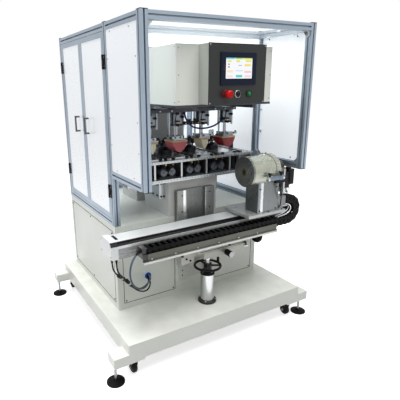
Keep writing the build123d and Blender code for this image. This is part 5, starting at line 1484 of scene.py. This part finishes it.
hose("pad_hose", ((-60, -262, 1451), (-60, -272, 1422), (-46, -280, 1388), (-14, -285, 1358),
                  (34, -288, 1346), (88, -288, 1345), (140, -286, 1353), (184, -280, 1368),
                  (222, -270, 1384), (251, -254, 1394)), 11, navy_plastic, "pad_head")
hose("index_hose", ((420, -624, 992), (424, -626, 960), (440, -618, 915), (456, -600, 872),
                    (462, -588, 832)), 7, black_fitting, "work_carriage")
hose("motor_hose", ((505, -514, 958), (497, -506, 925), (480, -498, 890), (466, -494, 862),
                    (462, -492, 832)), 8, black_fitting, "work_carriage")
sleeve = metal("silver_sleeve", (222, 226, 230), 0.22, grains=260.0, grain_colour=0.2,
               bump=0.6, edge=0, metallic=0.7)
for name, y, lower in (("sleeve_front", -573, 0), ("sleeve_back", -553, 5)):
    hose(name, ((524, y, 851), (556, y, 844 - lower), (580, y, 822 - lower),
                (574, y, 792 + lower), (540, y, 775 + lower), (500, y, 771), (462, y, 766)),
         8, sleeve)
mesh = bmesh.new()
for place, way in (((-60, -262, 1451.3), DOWN), ((254, -250, 1394), (-0.9, -0.4, 0))):
    add_turned(mesh, place, way, ((0, 9), (9, 9), (10, 7.6), (16, 7.6), (16, 5.6)), 16)
finished("pad_hose_fittings", mesh, black_fitting, "pad_head", bevel=0)
mesh = bmesh.new()
for y, wide, narrow in ((-588, 6, 3.6), (-492, 6.5, 4.2)):
    add_turned(mesh, (462, y, 830), UP,
               ((0, 8), (8, 8), (9, wide), (16, wide), (16, narrow)), 16)
finished("carriage_hose_fittings", mesh, bright_steel, "work_carriage", bevel=0)

# %% [markdown]
# ## Plugs in the module leads
# Both black leads have an inline plug near the module, so the module can be taken off
# without pulling its leads out of the cabinet: a black shell, a white ring and a nut.

# %% Inline plugs
plug_white = moulded("plug_white", (226, 227, 224), 0.4, worn=(240, 240, 240))
PLUG_PARTS = (("shell", 0, ((0, 5), (6, 12), (34, 12), (38, 10), (40, 10)), black_steel),
              ("ring", 40, ((0, 10.5), (2, 11.5), (16, 11.5), (18, 10.5)), plug_white),
              ("nut", 58, ((0, 11), (3, 12), (16, 12), (24, 6), (28, 4.6)), black_steel))
for name, line, share in (("plug_one", line_one, 0.22), ("plug_two", line_two, 0.30)):
    here, after = line[int(len(line) * share):][:2]
    way = (after - here).normalized()
    for part, along, profile, material in PLUG_PARTS:
        mesh = bmesh.new()
        add_turned(mesh, Vector(back_from(here)) + way * along, way, profile, 20)
        piece = finished(name + "_" + part, mesh, material, None, bevel=0)
        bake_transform(piece)

# %% [markdown]
# ## Film, brass wheel and encoder
# The shipping film round the drum is gathered at the rear and tied, which leaves folds
# running from the knot. Behind the drum a brass wheel carries the drive, and the motor's
# encoder is a black housing beside it with a silver plug below.

# %% Film folds and drive
DRUM, FLANGE, ENCODER_X = 92.4, 98, 568


def on_drum(x, degrees, lift=0.0, radius=DRUM):
    """A point on the drum: 0 degrees is straight up, growing to the front."""
    angle, reach = math.radians(degrees), radius + lift
    return (x, HEAD_Y - reach * math.sin(angle), HEAD_Z + reach * math.cos(angle))


film_clear = finish("film_folds", (214, 216, 204), 0.2, metallic=0.25, shade=0.85,
                    patches=20.0, drift=0.8, grains=60.0, bump=0.4, edge=0, dusty=0.0,
                    Coat_Weight=0.8)
mesh = bmesh.new()
for start, end, bow in (((366, 2), (250, 34), 6), ((364, 6), (276, 58), -8),
                        ((368, 10), (318, 92), 5), ((362, 0), (228, 10), -4),
                        ((370, 14), (352, 118), 4), ((366, -6), (300, -40), 5)):
    points = []
    for share in [step / 8 for step in range(9)]:
        wave = math.sin(math.pi * share)
        points.append(on_drum(start[0] + (end[0] - start[0]) * share + bow * wave,
                              start[1] + (end[1] - start[1]) * share, 0.2 * wave))
    add_bent_tube(mesh, points, 1.6, sides=6, steps=3)
for turn in range(-100, 140, 12):
    add_bent_tube(mesh, (on_drum(373, turn, 0.6, FLANGE), on_drum(390, turn + 3, 1.2, FLANGE),
                         on_drum(406, turn + 1, 0.2, FLANGE)), 1.5, sides=6, steps=3)
add_turned(mesh, on_drum(382, -28, 0, 94), (-0.15, 0.45, 0.88),
           ((0, 16), (3, 11), (5, 5), (6.5, 5), (8.5, 9), (10.5, 11), (12, 7), (12.5, 0)), 9)
finished("film_knot", mesh, film_clear, "work_carriage", bevel=0, smooth=50)
mesh = bmesh.new()
add_turned(mesh, (498, HEAD_Y + 4, 1062), RIGHT,
           ((0, 12), (4, 12), (4, 26), (8, 27.5), (14, 27.5), (16, 24), (22, 24),
            (24, 27.5), (30, 27.5), (34, 25), (34, 10), (38, 10), (38, 0)), 40)
finished("drive_wheel", mesh, metal("dull_brass", (158, 112, 62), 0.38), "work_carriage",
         bevel=0.4)
mesh = bmesh.new()
add_block(mesh, (540, 588), (-574, -510), (975, 1076))
add_block(mesh, (548, 582), (-578, -574), (990, 1070))
add_block(mesh, (536.5, 540), (-566, -518), (985, 1064))
add_turned(mesh, (ENCODER_X, HEAD_Y, 1076), UP, ((0, 18), (8, 18), (10, 14), (10, 0)), 24)
finished("encoder", mesh, black_fitting, "work_carriage", bevel=5)
mesh = bmesh.new()
add_turned(mesh, (ENCODER_X, HEAD_Y, 975), DOWN, (
    (0, 19), (10, 19), (10, 16), (26, 16), (26, 19), (40, 19), (40, 15), (62, 13), (64, 0)))
finished("encoder_plug", mesh, metal("plug_chrome", (206, 208, 208), 0.2), "work_carriage",
         bevel=0.4)

# %% [markdown]
# ## Casters
# The wheels turn on axle bolts with lock nuts, and pressed caps close their hubs. The nuts
# stay with the fork, while the caps turn with the wheel.

# %% Caster fittings
caster_steel = metal("zinc_steel", (150, 152, 154), 0.4, grains=500.0)
for number in "1234":
    low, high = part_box("caster_wheel_" + number)
    x, y, z = back_from((low + high) / 2)
    for name, body, reach, sides, profile in (
            ("hub_caps_", "caster_wheel_", 12.8, 28,
             ((0, 26), (1.2, 26), (1.2, 22), (0.4, 20), (0.4, 12), (1.4, 10), (1.4, 7))),
            ("axle_nuts_", "caster_swivel_", 19.5, 6,
             ((0, 9), (1.5, 9), (1.5, 7.5), (6.5, 7.5), (7, 6), (7, 0)))):
        mesh = bmesh.new()
        for way, side in ((LEFT, -1), (RIGHT, 1)):
            add_turned(mesh, (x + side * reach, y, z), way, profile, sides)
        finished(name + number, mesh, caster_steel, body + number, bevel=0)

# %% [markdown]
# ## Small clear parts of the guard
# Wires and hoses of the guard run in clear plastic clips, most of them at the top of the
# frame. They are milky from use.

# %% Guard clips
CLIP_PROFILE = ((0, 5), (8, 5), (9, 3.5), (9, 0))
clear_plastic = finish("clip_plastic", (222, 228, 232), 0.2, shade=0.9, drift=0.5,
                       edge=0.4, dusty=0.0, Coat_Weight=0.6, Alpha=0.75)
mesh = bmesh.new()
for x, y, z in ((515.6, -257, 1925), (515.6, -443, 1919), (515.6, -360, 1890),
                (515.6, -582, 1887), (547.8, -286, 1303)):
    add_block(mesh, (x - 12, x), (y - 10, y + 10), (z - 6, z + 6))
    add_turned(mesh, (x - 12, y, z), LEFT, CLIP_PROFILE, 14)
for x in (-380, -120, 190):
    add_block(mesh, (x - 12, x + 12), (562, 576), (1884, 1896))
    add_turned(mesh, (x, 562, 1890), FRONT, CLIP_PROFILE, 14)
finished("guard_clips", mesh, clear_plastic, bevel=0.8)

# %% [markdown]
# ## Covers of the cabinet
# The cabinet is closed by four flat covers. Each lies in a thin dark seal that shows as a
# line round it, and is held by small black screws near its corners.

# %% Seals and cover screws
COVER_LOW, COVER_HIGH, HALF_SEAL = 276, 756, 1.6
seal_black = moulded("seal_black", (58, 60, 60), 0.7, worn=(90, 92, 92))


def seal_line(mesh, x, y, z):
    """A straight seal: where one place is given instead of two limits, it is thin there."""
    limits = [where if isinstance(where, tuple) else (where - HALF_SEAL, where + HALF_SEAL)
              for where in (x, y, z)]
    add_block(mesh, *limits)


mesh = bmesh.new()
for side in (-1, 1):
    for edge in (142, 514):
        seal_line(mesh, side * edge, (-271.9, -270.6), (COVER_LOW, COVER_HIGH))
    for z in (COVER_LOW, COVER_HIGH):
        seal_line(mesh, (side * 142, side * 514), (-271.8, -270.6), z)
        seal_line(mesh, (side * 554.6, side * 555.8), (-230, 576), z)
    for y in (-230, 576):
        seal_line(mesh, (side * 554.6, side * 555.9), y, (COVER_LOW, COVER_HIGH))
finished("cover_seals", mesh, seal_black, bevel=0)
for name, x, way in (("left_cover_screws", -555, LEFT), ("right_cover_screws", 555, RIGHT)):
    screw_row(name, way, 5.5, 2.4, grid((x,), (-214, 173, 560), (292, 740)), black=True)
screw_row("front_cover_screws", FRONT, 4.5, 2.4,
          grid((-156, -500, 156, 500), (-271,), (290, 742)), black=True)

# %% [markdown]
# ## Guides of the rams
# Beside each cylinder a tube hangs from the carriage, and a rod that stands on a lug of
# the ram slides in it, so the pad cannot turn. A bar across the front of the ram block
# clamps the pad, with small knurled screws.

# %% Guide tubes, rods and clamp bars
TUBE_LOW, TUBE_HIGH, ROD_TOP = 1364, 1451.3, 1388
guide_steel = metal("guide_steel", (158, 163, 168), 0.28, edge=0.3)


def add_sleeve(mesh, x, y, low, high, inner, outer):
    """A hollow tube that stands upright."""
    rings = [[mesh.verts.new(at(x + a, y + b, z)) for a, b in around(24, radius)]
             for z, radius in ((low, inner), (low, outer), (high, outer), (high, inner))]
    skin(mesh, rings + rings[:1], caps=False)


mesh = bmesh.new()
for x in PAD_PLACES:
    add_sleeve(mesh, x - 47, PAD_Y, TUBE_LOW, TUBE_HIGH, 7, 10.5)
    add_sleeve(mesh, x + 44, PAD_Y - 18, 1354, TUBE_HIGH, 4, 7)
finished("guide_tubes", mesh, guide_steel, "pad_head", bevel=0.4)
for number, x in zip("1234", PAD_PLACES):
    near, far = (-50, 12) if number in "12" else (-12, 72)
    mesh = bmesh.new()
    add_block(mesh, (x - 57, x - 31.2), (PAD_Y - 10, PAD_Y + 10), (1288, 1300))
    add_rod(mesh, (x - 47, PAD_Y, 1299), (x - 47, PAD_Y, ROD_TOP), 5.6)
    add_block(mesh, (x + near, x + far), (PAD_Y - 43, PAD_Y - 35.2), (1290, 1304))
    if number == "3":
        add_block(mesh, (x + 34, x + 72), (PAD_Y - 43, PAD_Y - 38), (1304, 1330))
    finished("ram_guide_" + number, mesh, guide_steel, "ram_" + number, bevel=0.4)
    mesh = bmesh.new()
    add_knurled(mesh, (x + max(near, far, key=abs) * 0.86, PAD_Y - 39, 1304), UP, 6, 9, teeth=10)
    for side in (near, far):
        add_knurled(mesh, (x + side * 0.6, PAD_Y - 43, 1297), FRONT, 5, 4, teeth=10)
    finished("clamp_knobs_" + number, mesh, black_steel, "ram_" + number, bevel=0)
mesh = bmesh.new()
for x in PAD_PLACES:
    add_knurled(mesh, (x + 24, PAD_Y - 34, CYLINDER_HIGH - 30), FRONT, 8, 15, teeth=12)
    add_block(mesh, (x - 30, x + 2), (PAD_Y - 50, PAD_Y - 34.2), (1392, 1400))
    add_bent_tube(mesh, ((x - 26, PAD_Y - 42, 1400), (x - 27, PAD_Y - 44, 1418),
                         (x - 22, PAD_Y - 45, 1436), (x - 18, PAD_Y - 44, 1451.4)), 3, sides=8)
finished("cylinder_fittings", mesh, black_fitting, "pad_head", bevel=0.4)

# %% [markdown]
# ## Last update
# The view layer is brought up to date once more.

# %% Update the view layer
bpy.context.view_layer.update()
